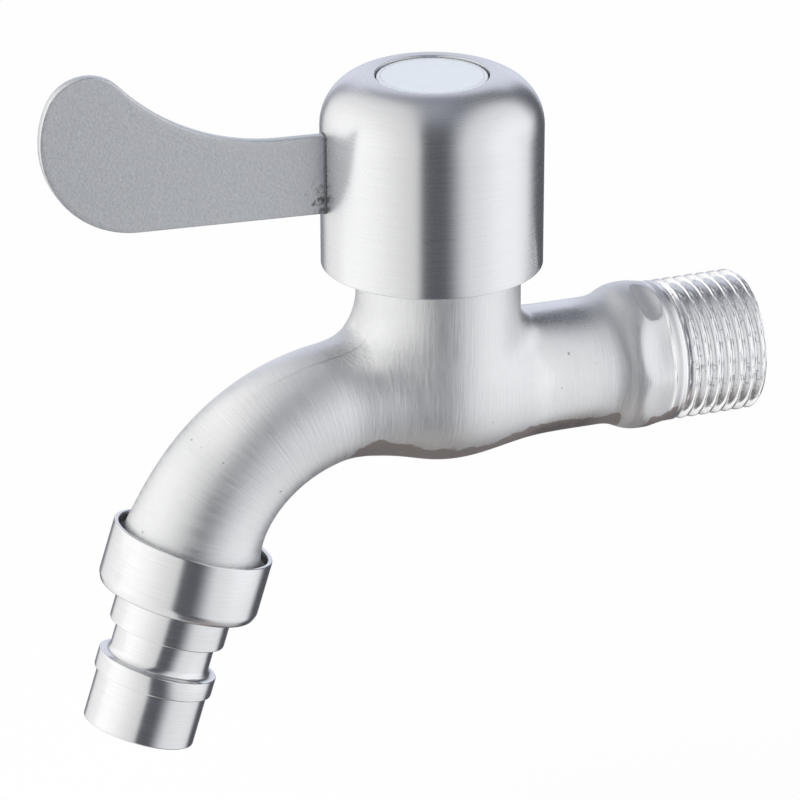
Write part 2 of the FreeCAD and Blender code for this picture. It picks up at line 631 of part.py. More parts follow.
def oring_groove(height):
    """Corners of a square O-ring groove round a height, from below."""
    floor = "spindle_radius - oring_groove_depth"
    low = f"{height} - oring_radius - lapped_clearance"
    high = f"{height} + oring_radius + lapped_clearance"
    return [("spindle_radius", low), (floor, low), (floor, high), ("spindle_radius", high)]


OUTER_RING = "oring_lower_height + oring_spacing"
clip_bottom = f"{BARREL_TOP} + lapped_clearance"
clip_top = f"{clip_bottom} + circlip_thickness"
turned(spindle, "Shaft", [
    ("0", DRIVER_BOTTOM),
    ("driver_radius", DRIVER_BOTTOM),
    ("driver_radius", DRIVER_TOP),
    ("spindle_radius", DRIVER_TOP),
    *oring_groove("oring_lower_height"),
    *oring_groove(OUTER_RING),
    ("spindle_radius", clip_bottom),
    ("spindle_radius - circlip_groove_depth", clip_bottom),
    ("spindle_radius - circlip_groove_depth", clip_top),
    ("spindle_radius", clip_top),
    ("spindle_radius", SPLINE_BOTTOM),
    ("spline_radius", SPLINE_BOTTOM),
    ("spline_radius", SPLINE_TOP),
    ("screw_hole_radius", SPLINE_TOP),
    ("screw_hole_radius", f"{HEAD_BOTTOM} - screw_length - 1"),
    ("0", f"{HEAD_BOTTOM} - screw_length - 1"),
])
key = sketch_on(spindle, "XY_Plane", "DriverKeyOutline", out=DRIVER_BOTTOM)
rectangle(key, "-driver_key_length / 2", "driver_key_length / 2",
          "-driver_key_width / 2", "driver_key_width / 2")
feature(spindle, "Pad", "DriverKey", key, Length="driver_key_depth", Reversed=True)
stop = sketch_on(spindle, "XY_Plane", "DriverStopOutline", out=DRIVER_BOTTOM)
sector(stop, "driver_radius - 1", "disc_radius", "stop_angle", "-quarter_turn / 2")
feature(spindle, "Pad", "DriverStop", stop, Length="driver_thickness")


def tooth(sketch, tip, root, half_width):
    """A triangle whose tip and root lie on two radii, on the +X side."""
    outline(sketch, [(tip, "0"), (root, half_width), (root, f"-{half_width}")])


TOOTH_HALF = "(0.8 * pi * spline_radius / tooth_count)"
notch = sketch_on(spindle, "XY_Plane", "SplineNotchOutline", out=SPLINE_TOP)
tooth(notch, "spline_radius - spline_depth", "spline_radius + spline_depth / 4", TOOTH_HALF)
cut = feature(spindle, "Pocket", "SplineNotch", notch, Length="spline_length")
around(spindle, "Spline", cut, "tooth_count")

bush = new_body("spline_bush")
turned(bush, "Bush", [
    ("spline_radius + spline_clearance", BUSH_BOTTOM),
    ("bush_radius", BUSH_BOTTOM),
    ("bush_radius", BUSH_TOP),
    ("screw_hole_radius + 2 * disc_clearance", BUSH_TOP),
    ("screw_hole_radius + 2 * disc_clearance", f"{BUSH_TOP} - bush_end_wall"),
    ("spline_radius + spline_clearance", f"{BUSH_TOP} - bush_end_wall"),
])
ridge = sketch_on(bush, "XY_Plane", "SplineRidgeOutline", out=BUSH_BOTTOM)
tooth(ridge, "spline_radius - spline_depth + 2 * spline_clearance",
      "spline_radius + spline_depth / 4 + 2 * spline_clearance", f"({TOOTH_HALF} - spline_clearance)")
rib = feature(bush, "Pad", "SplineRidge", ridge, Length="bush_length - bush_end_wall")
around(bush, "InnerSpline", rib, "tooth_count")

slip_washer = new_body("slip_washer")
turned(slip_washer, "SlipWasher", [
    ("spindle_radius + running_clearance", WASHER_BOTTOM),
    ("driver_radius", WASHER_BOTTOM),
    ("driver_radius", CAVITY_TOP),
    ("spindle_radius + running_clearance", CAVITY_TOP),
])

circlip = new_body("spindle_circlip")
turned(circlip, "Circlip", [
    ("spindle_radius - circlip_groove_depth", clip_bottom),
    ("circlip_radius", clip_bottom),
    ("circlip_radius", clip_top),
    ("spindle_radius - circlip_groove_depth", clip_top),
], angle="360 - circlip_gap")

for label, height in (("spindle_oring_lower", "oring_lower_height"), ("spindle_oring_upper", OUTER_RING)):
    oring = doc.addObject("Part::Torus", label)
    oring.Label = label
    oring.setExpression("Radius1", linked("spindle_radius - oring_groove_depth + oring_radius"))
    oring.setExpression("Radius2", linked("oring_radius"))
    oring.setExpression("Placement.Base.x", linked("-inlet_reach"))
    oring.setExpression("Placement.Base.z", linked(height))

# Handle: turned cap with a boss for the splined bush, closed by the index disc
cap = new_body("handle_cap")
turned(cap, "CapShell", [
    ("cap_bottom_radius - cap_wall", "cap_bottom"),
    ("cap_bottom_radius", "cap_bottom"),
    ("cap_top_radius", "cap_top - cap_shoulder_radius", "cap_shoulder_radius", -1),
    ("cap_top_radius - cap_shoulder_radius", "cap_top"),
    ("0", "cap_top"),
    ("0", "cap_top - cap_wall"),
    ("cap_top_radius - cap_shoulder_radius", "cap_top - cap_wall", "cap_shoulder_radius - cap_wall", 1),
    ("cap_top_radius - cap_wall", "cap_top - cap_shoulder_radius"),
])
turned(cap, "Boss", [
    ("0", BUSH_BOTTOM),
    ("recess_radius + boss_wall", BUSH_BOTTOM),
    ("recess_radius + boss_wall", "cap_top - cap_wall / 2"),
    ("0", "cap_top - cap_wall / 2"),
])
turned(cap, "RecessAndBushSeat", [
    ("0", "cap_top + 1"),
    ("recess_radius", "cap_top + 1"),
    ("recess_radius", RECESS_BOTTOM),
    ("screw_way_radius", RECESS_BOTTOM),
    ("screw_way_radius", BUSH_TOP),
    ("bush_radius", BUSH_TOP),
    ("bush_radius", f"{BUSH_BOTTOM} - 1"),
    ("0", f"{BUSH_BOTTOM} - 1"),
], kind="Groove")
rounded(cap, "CapEdge", "cap_edge_round", at_height("cap_bottom", "cap_bottom_radius"))

index_disc = new_body("index_disc")
turned(index_disc, "IndexDisc", [
    ("0", "cap_top - index_disc_sink"),
    ("0", "cap_top - index_disc_sink - index_disc_thickness"),
    ("recess_radius - disc_gap - index_rim_wall", "cap_top - index_disc_sink - index_disc_thickness"),
    ("recess_radius - disc_gap - index_rim_wall", RECESS_BOTTOM),
    ("recess_radius - disc_gap", RECESS_BOTTOM),
    ("recess_radius - disc_gap", "cap_top - index_disc_sink"),
])
rounded(index_disc, "DiscEdge", "disc_gap",
        at_height("cap_top - index_disc_sink", "recess_radius - disc_gap"))

screw = new_body("handle_screw")
turned(screw, "Screw", [
    ("0", f"{HEAD_BOTTOM} - screw_length"),
    ("screw_radius", f"{HEAD_BOTTOM} - screw_length"),
    ("screw_radius", HEAD_BOTTOM),
    ("screw_head_radius", HEAD_BOTTOM),
    ("screw_head_radius", f"{HEAD_BOTTOM} + screw_head_height / 2", "2 * screw_head_radius", -1),
    ("0", f"{HEAD_BOTTOM} + screw_head_height"),
])
cross = sketch_on(screw, "XY_Plane", "CrossOutline", out=f"{HEAD_BOTTOM} + screw_head_height")
half = "screw_cross_width / 2"
reach = "screw_cross_length / 2"
outline(cross, [
    (reach, f"-{half}"), (reach, half), (half, half), (half, reach),
    (f"-{half}", reach), (f"-{half}", half), (f"-{reach}", half), (f"-{reach}", f"-{half}"),
    (f"-{half}", f"-{half}"), (f"-{half}", f"-{reach}"), (half, f"-{reach}"), (half, f"-{half}"),
])
feature(screw, "Pocket", "Cross", cross, Length="screw_cross_depth")

lock_washer = new_body("screw_lock_washer")
turned(lock_washer, "LockWasher", [
    ("screw_hole_radius + disc_clearance", BUSH_TOP),
    ("screw_head_radius - disc_clearance", BUSH_TOP),
    ("screw_head_radius - disc_clearance", HEAD_BOTTOM),
    ("screw_hole_radius + disc_clearance", HEAD_BOTTOM),
], angle="350")

# Lever plate, turned a little off the spout's plane; its root is cut to the cap's side
lever = new_body("lever_plate")
lever.Placement = Placement(Vector(0, 0, 0), Rotation(Vector(0, 0, 1), -1))
lever.setExpression("Placement.Rotation.Angle", linked("-lever_angle"))
end_centre = ("(-lever_straight)", "(lever_bottom + lever_end_radius)")
step = "(lever_end_radius - lever_tip_radius)"
tip_centre = (f"({end_centre[0]} - {step} * cos(lever_end_angle))",
              f"({end_centre[1]} + {step} * sin(lever_end_angle))")
hollow = (f"(({tip_centre[1]} + lever_tip_radius * sin(lever_tip_angle) - lever_top)"
          " / (1 - sin(lever_tip_angle)))")
plate = sketch_on(lever, "XZ_Plane", "LeverOutline")
outline(plate, [
    ("cap_wall - cap_top_radius", "lever_bottom"),
    ("-lever_straight", "lever_bottom", "lever_end_radius", 1),
    (f"{end_centre[0]} - lever_end_radius * cos(lever_end_angle)",
     f"{end_centre[1]} + lever_end_radius * sin(lever_end_angle)", "lever_tip_radius", 1),
    (f"{tip_centre[0]} - lever_tip_radius * cos(lever_tip_angle)",
     f"{tip_centre[1]} + lever_tip_radius * sin(lever_tip_angle)", hollow, -1),
    (f"{tip_centre[0]} - (lever_tip_radius + {hollow}) * cos(lever_tip_angle)", "lever_top"),
    ("cap_wall - cap_top_radius", "lever_top"),
])
feature(lever, "Pad", "Plate", plate, Length="lever_thickness", Midplane=True)


def on_rim(edge):
    """Edges of the plate's two faces, without the root."""
    box = edge.BoundBox
    return box.YLength < SAME_HEIGHT and box.XMin < size("cap_wall - cap_top_radius") - SAME_PLACE


rounded(lever, "PlateEdges", "lever_edge_round", on_rim)
turned(lever, "Root", [
    ("0", "cap_bottom"),
    ("cap_bottom_radius", "cap_bottom"),
    ("cap_top_radius", "cap_top - cap_shoulder_radius"),
    ("cap_top_radius", "cap_top"),
    ("0", "cap_top"),
], kind="Groove")

# Hose nozzle, screwed onto the spout against a flat washer; drawn downwards from its rim
nozzle_rim_across = f"-inlet_reach - {BEND_END} + nozzle_cover * sin{NOZZLE_TILT}"
nozzle_rim_up = f"-{BEND_DROP} + nozzle_cover * cos{NOZZLE_TILT}"


def nozzle_body(name):
    """A body about the nozzle's axis, with its top at the collar's rim."""
    body = new_body(name)
    body.Placement = Placement(Vector(0, 0, 0), Rotation(Vector(0, 1, 0), 1))
    body.setExpression("Placement.Base.x", linked(nozzle_rim_across))
    body.setExpression("Placement.Base.z", linked(nozzle_rim_up))
    body.setExpression("Placement.Rotation.Angle", linked(NOZZLE_TILT))
    return body


nozzle = nozzle_body("hose_nozzle")
turned(nozzle, "NozzleOutside", [
    ("nozzle_mouth_radius", "0"),
    ("nozzle_collar_radius", "0"),
    ("nozzle_collar_radius", "-nozzle_collar_length"),
    ("nozzle_neck_radius", "-nozzle_collar_length"),
    ("nozzle_neck_radius", "-nozzle_neck_end"),
    ("nozzle_groove_radius", "-nozzle_neck_end"),
    ("nozzle_groove_radius", "-nozzle_ring_start + nozzle_cove", "nozzle_cove", -1),
    ("nozzle_groove_radius + nozzle_cove", "-nozzle_ring_start"),
    ("nozzle_ring_radius", "-nozzle_ring_start"),
    ("nozzle_ring_radius", "-nozzle_ring_end"),
    ("nozzle_tail_radius", "-nozzle_ring_end"),
    ("nozzle_tail_radius", "-nozzle_length"),
    ("nozzle_bore_radius", "-nozzle_length"),
    ("nozzle_bore_radius", "-nozzle_floor"),
    ("thread_radius + thread_clearance", "-nozzle_floor"),
    ("thread_radius + thread_clearance", "-nozzle_mouth_depth"),
    ("nozzle_mouth_radius", "-nozzle_mouth_depth"),
])
rounded(nozzle, "CollarRound", "nozzle_collar_round",
        at_height("-nozzle_collar_length", "nozzle_collar_radius"))


def nozzle_edges(edge):
    """Outer edges of the nozzle that are only broken."""
    return any(at_height(height, radius)(edge) for height, radius in (
        ("0", "nozzle_collar_radius"),
        ("-nozzle_neck_end", "nozzle_neck_radius"),
        ("-nozzle_ring_start", "nozzle_ring_radius"),
        ("-nozzle_ring_end", "nozzle_ring_radius"),
        ("-nozzle_length", "nozzle_tail_radius")))


rounded(nozzle, "BrokenEdges", "nozzle_edge_round", nozzle_edges)

washer = nozzle_body("nozzle_washer")
turned(washer, "FlatWasher", [
    ("nozzle_washer_inner", "-nozzle_cover - spout_thread_length"),
    ("thread_radius - 3 * disc_clearance", "-nozzle_cover - spout_thread_length"),
    ("thread_radius - 3 * disc_clearance", "-nozzle_floor"),
    ("nozzle_washer_inner", "-nozzle_floor"),
])

doc.recompute()
pieces = [item for item in doc.Objects if item.TypeId in ("PartDesign::Body", "Part::Torus")]
faults = [item.Name for item in doc.Objects if "Invalid" in item.State or "Error" in item.State]
faults += [piece.Label for piece in pieces if piece.Shape.isNull() or not piece.Shape.isValid()]
if faults:
    raise RuntimeError("these did not build: " + ", ".join(faults))

os.makedirs("parts", exist_ok=True)
for piece in pieces:
    piece.Shape.exportStep(f"parts/{piece.Label}.step")
    box = piece.Shape.BoundBox
    print(f"{piece.Label}: {len(piece.Shape.Solids)} solid, {piece.Shape.Volume:.0f} mm3, "
          f"{box.XLength:.1f} x {box.YLength:.1f} x {box.ZLength:.1f} mm")
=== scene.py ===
# %% [markdown]
# Washing machine tap
#
# A wall tap of satin stainless steel: one casting (threaded inlet, belly, neck and bent spout), a
# turned handle cap with a flat lever welded to it, and a turned hose nozzle. The solids and their
# motion come from the imported frame. This script dresses them: smooth curved skins, real threads, a
# weld, and the look of brushed, cast and turned steel.
#
# The frame comes first, because every piece takes its place from it.

# %% Load the frame
import bpy
import numpy as np
from mathutils import Matrix, Vector


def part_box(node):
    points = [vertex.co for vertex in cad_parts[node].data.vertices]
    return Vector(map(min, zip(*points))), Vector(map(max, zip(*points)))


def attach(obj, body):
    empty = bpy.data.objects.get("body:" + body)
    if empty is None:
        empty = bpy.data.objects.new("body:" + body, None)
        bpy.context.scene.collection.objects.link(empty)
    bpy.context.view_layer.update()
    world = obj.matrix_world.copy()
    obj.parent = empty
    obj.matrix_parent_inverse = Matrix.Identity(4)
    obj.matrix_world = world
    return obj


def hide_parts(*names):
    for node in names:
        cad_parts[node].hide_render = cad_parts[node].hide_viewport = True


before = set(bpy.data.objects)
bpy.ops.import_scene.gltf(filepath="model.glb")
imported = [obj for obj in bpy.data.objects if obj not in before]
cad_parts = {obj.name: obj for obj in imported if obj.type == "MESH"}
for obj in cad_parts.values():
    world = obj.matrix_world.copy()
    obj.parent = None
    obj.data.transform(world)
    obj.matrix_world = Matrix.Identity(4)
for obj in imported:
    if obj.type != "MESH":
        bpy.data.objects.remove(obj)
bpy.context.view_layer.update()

# %% [markdown]
# Sizes are in millimetres and measured from the crossing of the handle's axis and the inlet's axis:
# x runs towards the wall, y to the back and z up. A caster or a turner would dimension the tap from
# the same two axes. The crossing lies under the middle of the cap, so the frame gives its place.

# %% Where things are
MM = 0.001
cap_low, cap_high = (np.array(corner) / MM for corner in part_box("handle_cap"))
body_high = np.array(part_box("tap_body")[1]) / MM
crossing = np.array([(cap_low[0] + cap_high[0]) / 2, 0.0, 0.0])
inlet_end = body_high[0] - crossing[0]
neck_top = body_high[2]
print("crossing at", crossing, "inlet end at", inlet_end, "neck top at", neck_top)

# %% [markdown]
# Every skin is a grid of points joined by four-sided faces. Points could be entered one by one in
# Edit Mode, but numpy works out a whole grid at once. These helpers number the faces and put points
# in millimetres into a mesh in metres. The object itself stays at the origin, because a piece's
# place belongs in its mesh.

# %% Helpers for meshes
SHARP_ANGLE = np.radians(20)


def grid_faces(rows, columns, first=0, loop=False):
    """Four-sided faces of a grid whose points are numbered row by row. Each row closes into a
    ring, and with loop the last row also joins the first."""
    bands = rows if loop else rows - 1
    row, column = np.meshgrid(np.arange(bands), np.arange(columns), indexing="ij")
    row_after, column_after = (row + 1) % rows, (column + 1) % columns
    corners = [row * columns + column, row * columns + column_after,
               row_after * columns + column_after, row_after * columns + column]
    return first + np.stack(corners, axis=-1).reshape(-1, 4)


def add_piece(name, points, faces, body, replaced=()):
    """A mesh piece from points in millimetres about the crossing: the crossing is added, and the
    sum is turned into metres."""
    mesh = bpy.data.meshes.new(name)
    places = (np.asarray(points) + crossing) * MM
    mesh.from_pydata(places.tolist(), [], [face.tolist() for kind in faces for face in kind])
    mesh.validate()
    mesh.shade_smooth()
    mesh.set_sharp_from_angle(angle=SHARP_ANGLE)
    piece = bpy.data.objects.new(name, mesh)
    bpy.context.scene.collection.objects.link(piece)
    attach(piece, body)
    for node in replaced:
        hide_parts(node)
    print(name, len(mesh.vertices), "points,", len(mesh.polygons), "faces")
    return piece


print("edges sharper than", round(float(np.degrees(SHARP_ANGLE))), "degrees stay crisp")

# %% [markdown]
# The casting's skin. A foundry pours the belly, the neck and the spout as one piece, so the three
# run into each other without an edge. Solids joined by a boolean would show a crease there. A
# distance field has none: each form is a function that is negative inside, and a soft minimum of
# two of them gives one form with a hollow rounding between. The belly is the first form: a pipe
# whose radius swells and falls again in arcs.

# %% Pipe and belly
PIPE_RADIUS = 9.5
BELLY_RADIUS = 11.0
BELLY_SHIFT = 3.2
BELLY_CROWN = 30.0
SPOUT_ROOT = 18.0
WALL_ROOT = 45.0
SPOUT_RADIUS = 8.67
EASE_SHIFTS = np.linspace(-3, 3, 6)


def fall(way, high, low, crown, root):
    """Radius that falls from high to low along a way: an outward arc of radius crown, then an
    inward arc of radius root that shares its tangent and ends level."""
    cosine = 1 - (high - low) / (crown + root)
    sine = np.sqrt(1 - cosine ** 2)
    on_crown = high - crown + np.sqrt(crown ** 2 - np.clip(way, 0, crown * sine) ** 2)
    left = np.clip((crown + root) * sine - way, 0, root * sine)
    on_root = low + root - np.sqrt(root ** 2 - left ** 2)
    return np.where(way < crown * sine, on_crown, on_root)


def pipe_radius(x):
    """Outside radius of belly and pipe: widest at BELLY_SHIFT and falling in arcs to both sides. It
    is the mean over a short way, so that the bending of the skin changes little by little."""
    total = 0
    for shift in EASE_SHIFTS:
        near = x + shift
        spout_side = fall(BELLY_SHIFT - near, BELLY_RADIUS, SPOUT_RADIUS, BELLY_CROWN, SPOUT_ROOT)
        wall_side = fall(near - BELLY_SHIFT, BELLY_RADIUS, PIPE_RADIUS, BELLY_CROWN, WALL_ROOT)
        total = total + np.where(near < BELLY_SHIFT, spout_side, wall_side)
    return total / len(EASE_SHIFTS)


root_cosine = 1 - (BELLY_RADIUS - SPOUT_RADIUS) / (BELLY_CROWN + SPOUT_ROOT)
bend_start = BELLY_SHIFT - (BELLY_CROWN + SPOUT_ROOT) * np.sqrt(1 - root_cosine ** 2)
print("belly's arcs end, and the spout's bend starts, at x =", bend_start)

# %% [markdown]
# The spout goes on as a bent pipe. Its centre line is an arc and then a short straight, which
# carries the thread for the nozzle. A point needs only two measures for its distance from the
# skin: how far along that line it is, which gives the radius there, and how far off it.

# %% Bent spout
SPOUT_TAPER = 0.8
SPOUT_FLARE = 0.9
FLARE_POWER = 8
SPOUT_BEND = 27.5
SPOUT_TURN = np.radians(72.5)
THREAD_RADIUS = 10.4775
SPOUT_THREAD = 5.6


def along_spout(x, y, z):
    """Angle turned along the bend's centre line, distance from that line, and distance past the
    bend's end on the straight that follows it."""
    across, down = bend_start - x, z + SPOUT_BEND
    turn = np.arctan2(across, down)
    reach = np.hypot(across, down)
    past = reach * np.sin(turn - SPOUT_TURN)
    side = np.where(turn < SPOUT_TURN, reach, reach * np.cos(turn - SPOUT_TURN)) - SPOUT_BEND
    return turn, np.hypot(side, y), past


def tube_field(x, y, z):
    """Pipe, belly and spout: distance from the centre line less the radius there."""
    turn, off_line, past = along_spout(x, y, z)
    share = np.clip(turn / SPOUT_TURN, 0, 1)
    way = np.where(x > bend_start, x, bend_start - turn * SPOUT_BEND)
    radius = pipe_radius(way) + SPOUT_TAPER * share + SPOUT_FLARE * share ** FLARE_POWER
    spout = off_line - np.where(turn > SPOUT_TURN, THREAD_RADIUS, radius)
    spout = np.maximum(spout, past - SPOUT_THREAD)
    return np.where(x > bend_start, np.hypot(y, z) - radius, spout)


print("length of the bend's centre line:", SPOUT_BEND * SPOUT_TURN)

# %% [markdown]
# The neck is a round post that stands on the belly, a little nearer to the wall than the handle's
# axis. The mould has a fillet where the two meet, and the fillet is the width of the soft minimum.
# A single width would swell where the skins run together and starve where they meet squarely, so
# the width follows the angle between them.

# %% Neck and fillet
NECK_RADIUS = 12.06
NECK_SHIFT = 1.0
DOME_HEIGHT = 1.26
SPOUT_CORNER = 3.1
WALL_CORNER = 0.6
CORNER_CHANGE = 8.0
LEAST_BLEND = 1.3
SHALLOW_BLEND = 4.5
SHARP_BLEND = 1.5
SHARP_ABOVE = 6.0
SOFT_BELOW = 2.0
SLOPE_STEP = 0.02
LEAST_SLOPE = 1e-9


def neck_field(x, y, z):
    """Neck: distance from an upright line that ends at DOME_HEIGHT, less the neck's radius."""
    below = np.minimum(z - DOME_HEIGHT, 0)
    return np.sqrt((x - NECK_SHIFT) ** 2 + y ** 2 + below ** 2) - NECK_RADIUS


def soft_least(first, second, width):
    """The lesser of two values, rounded off where they differ by less than a width: less a
    quarter of the width, times the square of how near they are."""
    near = np.clip(1 - np.abs(first - second) / width, 0, 1)
    return np.minimum(first, second) - near ** 2 * width / 4


def slope(field, x, y, z):
    """Unit vectors along which a field grows fastest, from differences over a small step."""
    step = SLOPE_STEP
    grown = np.stack([
        field(x + step, y, z) - field(x - step, y, z),
        field(x, y + step, z) - field(x, y - step, z),
        field(x, y, z + step) - field(x, y, z - step)])
    return grown / np.maximum(np.linalg.norm(grown, axis=0), LEAST_SLOPE)


def outer_field(x, y, z):
    """Soft minimum of tube and neck. How wide it is follows how the two skins meet: narrow where
    they run together, widest where they meet at a slant, and in the steep corners a fillet that is
    larger on the spout's side than on the wall's. High on the wall's side the corner is tight."""
    tube, neck = tube_field(x, y, z), neck_field(x, y, z)
    alike = (slope(tube_field, x, y, z) * slope(neck_field, x, y, z)).sum(axis=0)
    apart = np.clip(1 - alike, 0, 1)
    spout_side = np.clip((NECK_SHIFT - x) / CORNER_CHANGE + 0.5, 0, 1)
    corner = WALL_CORNER + (SPOUT_CORNER - WALL_CORNER) * spout_side
    tight = (1 - spout_side) * np.clip((z - SOFT_BELOW) / (SHARP_ABOVE - SOFT_BELOW), 0, 1)
    slanted = SHALLOW_BLEND + (SHARP_BLEND - SHALLOW_BLEND) * tight
    width = LEAST_BLEND + corner * apart + 4 * slanted * apart * (1 - apart)
    return np.maximum(soft_least(tube, neck, width), z - neck_top)


one_off = outer_field(NECK_SHIFT, -NECK_RADIUS - 1, neck_top - 1)
print("field 1 mm off the neck, which should be near 1:", float(one_off))

# %% [markdown]
# The waterways are taken out of the casting: the valve's chamber with its seat and well, the bore
# of the inlet with its port, and the bore of the spout. They show only at the open ends, but a
# body without them would fill the room of the cartridge.

# %% Waterways
INLET_BORE = 7.5
SPOUT_BORE = 6.5
CHAMBER_RADIUS = 8.5
CHAMBER_FLOOR = 4.5
CARTRIDGE_THREAD = 9.03
CARTRIDGE_THREAD_FLOOR = 11.0
WELL_RADIUS = 4.7
WELL_FLOOR = -7.0
PORT_RADIUS = 4.6
PORT_DROP = 2.2
PORT_START = 15.0
PORT_CONE = 1.8
SPOUT_BORE_START = -6.73


def casting_field(x, y, z):
    """The outer form less the waterways; negative in the steel."""
    from_axis = np.hypot(x, y)
    thread = np.maximum(from_axis - CARTRIDGE_THREAD, CARTRIDGE_THREAD_FLOOR - z)
    chamber = np.maximum(from_axis - CHAMBER_RADIUS, CHAMBER_FLOOR - z)
    well = np.maximum(from_axis - WELL_RADIUS, WELL_FLOOR - z)
    off_inlet = np.hypot(y, z) - INLET_BORE
    cone = np.maximum(off_inlet, (off_inlet + PORT_START - x) / PORT_CONE)
    port = np.maximum(np.hypot(y, z + PORT_DROP) - PORT_RADIUS, -x)
    turn, off_line, past = along_spout(x, y, z)
    spout = np.where(x > bend_start, np.hypot(y, z), off_line) - SPOUT_BORE
    spout = np.maximum(spout, x - SPOUT_BORE_START)
    water = np.minimum.reduce([thread, chamber, well, cone, port, spout])
    return np.maximum(outer_field(x, y, z), -water)


print("steel round the bores:", PIPE_RADIUS - INLET_BORE, "and", SPOUT_RADIUS - SPOUT_BORE, "mm")

# %% [markdown]
# A skin is laid over the field by surface nets, in small cubes. Each cube that the skin crosses
# gets one point: the mean of the places where the skin crosses the cube's edges. Marching cubes
# would do as well, but its thin triangles show in a reflection.

# %% Points of the net
CELL = 0.5


def edge_crossings(values, cells):
    """For each cube, the sum of the places where the skin crosses its edges, in cubes from its low
    corner, and their number. A place is found by straight division between an edge's two values."""
    total, count = np.zeros(cells + (3,)), np.zeros(cells)
    for axis in range(3):
        others = [other for other in range(3) if other != axis]
        starts = np.take(values, np.arange(cells[axis]), axis)
        ends = np.take(values, np.arange(1, cells[axis] + 1), axis)
        crossed = (starts < 0) != (ends < 0)
        share = np.where(crossed, starts / np.where(crossed, starts - ends, 1), 0)
        for first, second in ((0, 0), (0, 1), (1, 0), (1, 1)):
            window = [slice(None)] * 3
            window[others[0]] = slice(first, first + cells[others[0]])
            window[others[1]] = slice(second, second + cells[others[1]])
            window = tuple(window)
            count += crossed[window]
            total[..., axis] += share[window]
            total[..., others[0]] += crossed[window] * first
            total[..., others[1]] += crossed[window] * second
    return total, count


print("cubes of", CELL, "mm")

# %% [markdown]
# Each edge that the skin crosses gets one four-sided face round it, through the points of the four
# cubes that share the edge. The order of its corners says which side is outside, so it's turned
# round where the edge leads into the steel.

# %% Faces of the net
ROUND_EDGE = ((-1, -1), (0, -1), (0, 0), (-1, 0))


def faces_round_edges(inside, number, cells):
    """Faces round the crossed edges of each direction, by the numbers of their cubes' points."""
    faces = []
    for axis in range(3):
        one, two = (axis + 1) % 3, (axis + 2) % 3
        inner = [slice(1, length) for length in cells]
        inner[axis] = slice(0, cells[axis])
        ahead = list(inner)
        ahead[axis] = slice(1, cells[axis] + 1)
        starts, ends = inside[tuple(inner)], inside[tuple(ahead)]
        at = np.stack(np.nonzero(starts != ends), axis=1)
        leaving = starts[tuple(at.T)]
        at += [0 if other == axis else 1 for other in range(3)]
        ring = []
        for step_one, step_two in ROUND_EDGE:
            cell = at.copy()
            cell[:, one] += step_one
            cell[:, two] += step_two
            ring.append(number[tuple(cell.T)])
        ring = np.stack(ring, axis=1)
        faces.append(np.where(leaving[:, None], ring, ring[:, ::-1]))
    return np.concatenate(faces)


def surface_net(field, low, high):
    """Points and faces of a field's zero skin between two corners; open where a side cuts it."""
    axes = [np.arange(start, stop + CELL / 2, CELL) for start, stop in zip(low, high)]
    values = field(*np.meshgrid(*axes, indexing="ij"))
    cells = tuple(length - 1 for length in values.shape)
    total, count = edge_crossings(values, cells)
    used = count > 0
    number = np.full(cells, -1)
    number[used] = np.arange(used.sum())
    corner = np.stack(np.nonzero(used), axis=1)
    points = (corner + total[used] / count[used][:, None]) * CELL + [axis[0] for axis in axes]
    return points, faces_round_edges(values < 0, number, cells)


def ball_field(x, y, z):
    """A ball of 1 mm: distance from its middle less its radius."""
    return np.sqrt(x ** 2 + y ** 2 + z ** 2) - 1


ball_points, ball_faces = surface_net(ball_field, [-2] * 3, [2] * 3)
print("net of a ball of 1 mm:", len(ball_points), "points and", len(ball_faces), "faces")

# %% [markdown]
# The points of the net lie near the skin and not on it. Each one slides down or up the field's
# slope by the field's own value, a few times over, until it lies on the skin itself, so that a
# reflection runs over it without a step. The skin stops at a flat cut through the pipe, where
# turned work takes over, and points on that cut only slide within it.

# %% Skin of the casting
CUT = 22.0
CELLS_LONG = 147
HALF_WIDTH = 13.5
LOWEST = -28.5
ABOVE_NECK = 1.5
NEWTON_STEPS = 4
low_corner = np.array([CUT - CELL * CELLS_LONG, -HALF_WIDTH, LOWEST])
high_corner = np.array([CUT, HALF_WIDTH, neck_top + ABOVE_NECK])
casting_points, casting_faces = surface_net(casting_field, low_corner, high_corner)
at_cut = casting_points[:, 0] > CUT - CELL
for _ in range(NEWTON_STEPS):
    spot = casting_points.T
    heading = slope(casting_field, *spot).T
    heading[at_cut, 0] = 0
    casting_points = casting_points - casting_field(*spot)[:, None] * heading
print("casting:", len(casting_points), "points,", len(casting_faces), "faces")

# %% [markdown]
# The wrench collar at the inlet's end: a flare, a round land and six ground flats. Three flats face
# the front and three the back, and the collar stays round between them. The cutter dipped into the
# crown of the collar on two of them and ran up to a slanted wall on the others, whose edges the
# belt has since rounded off. A boolean could cut the flats, but it would leave them hard. The blank
# is a radius that changes along the axis, so the collar is a radius too, over the distance along
# the pipe and the angle round it, and a soft minimum with each flat rounds off its edges.

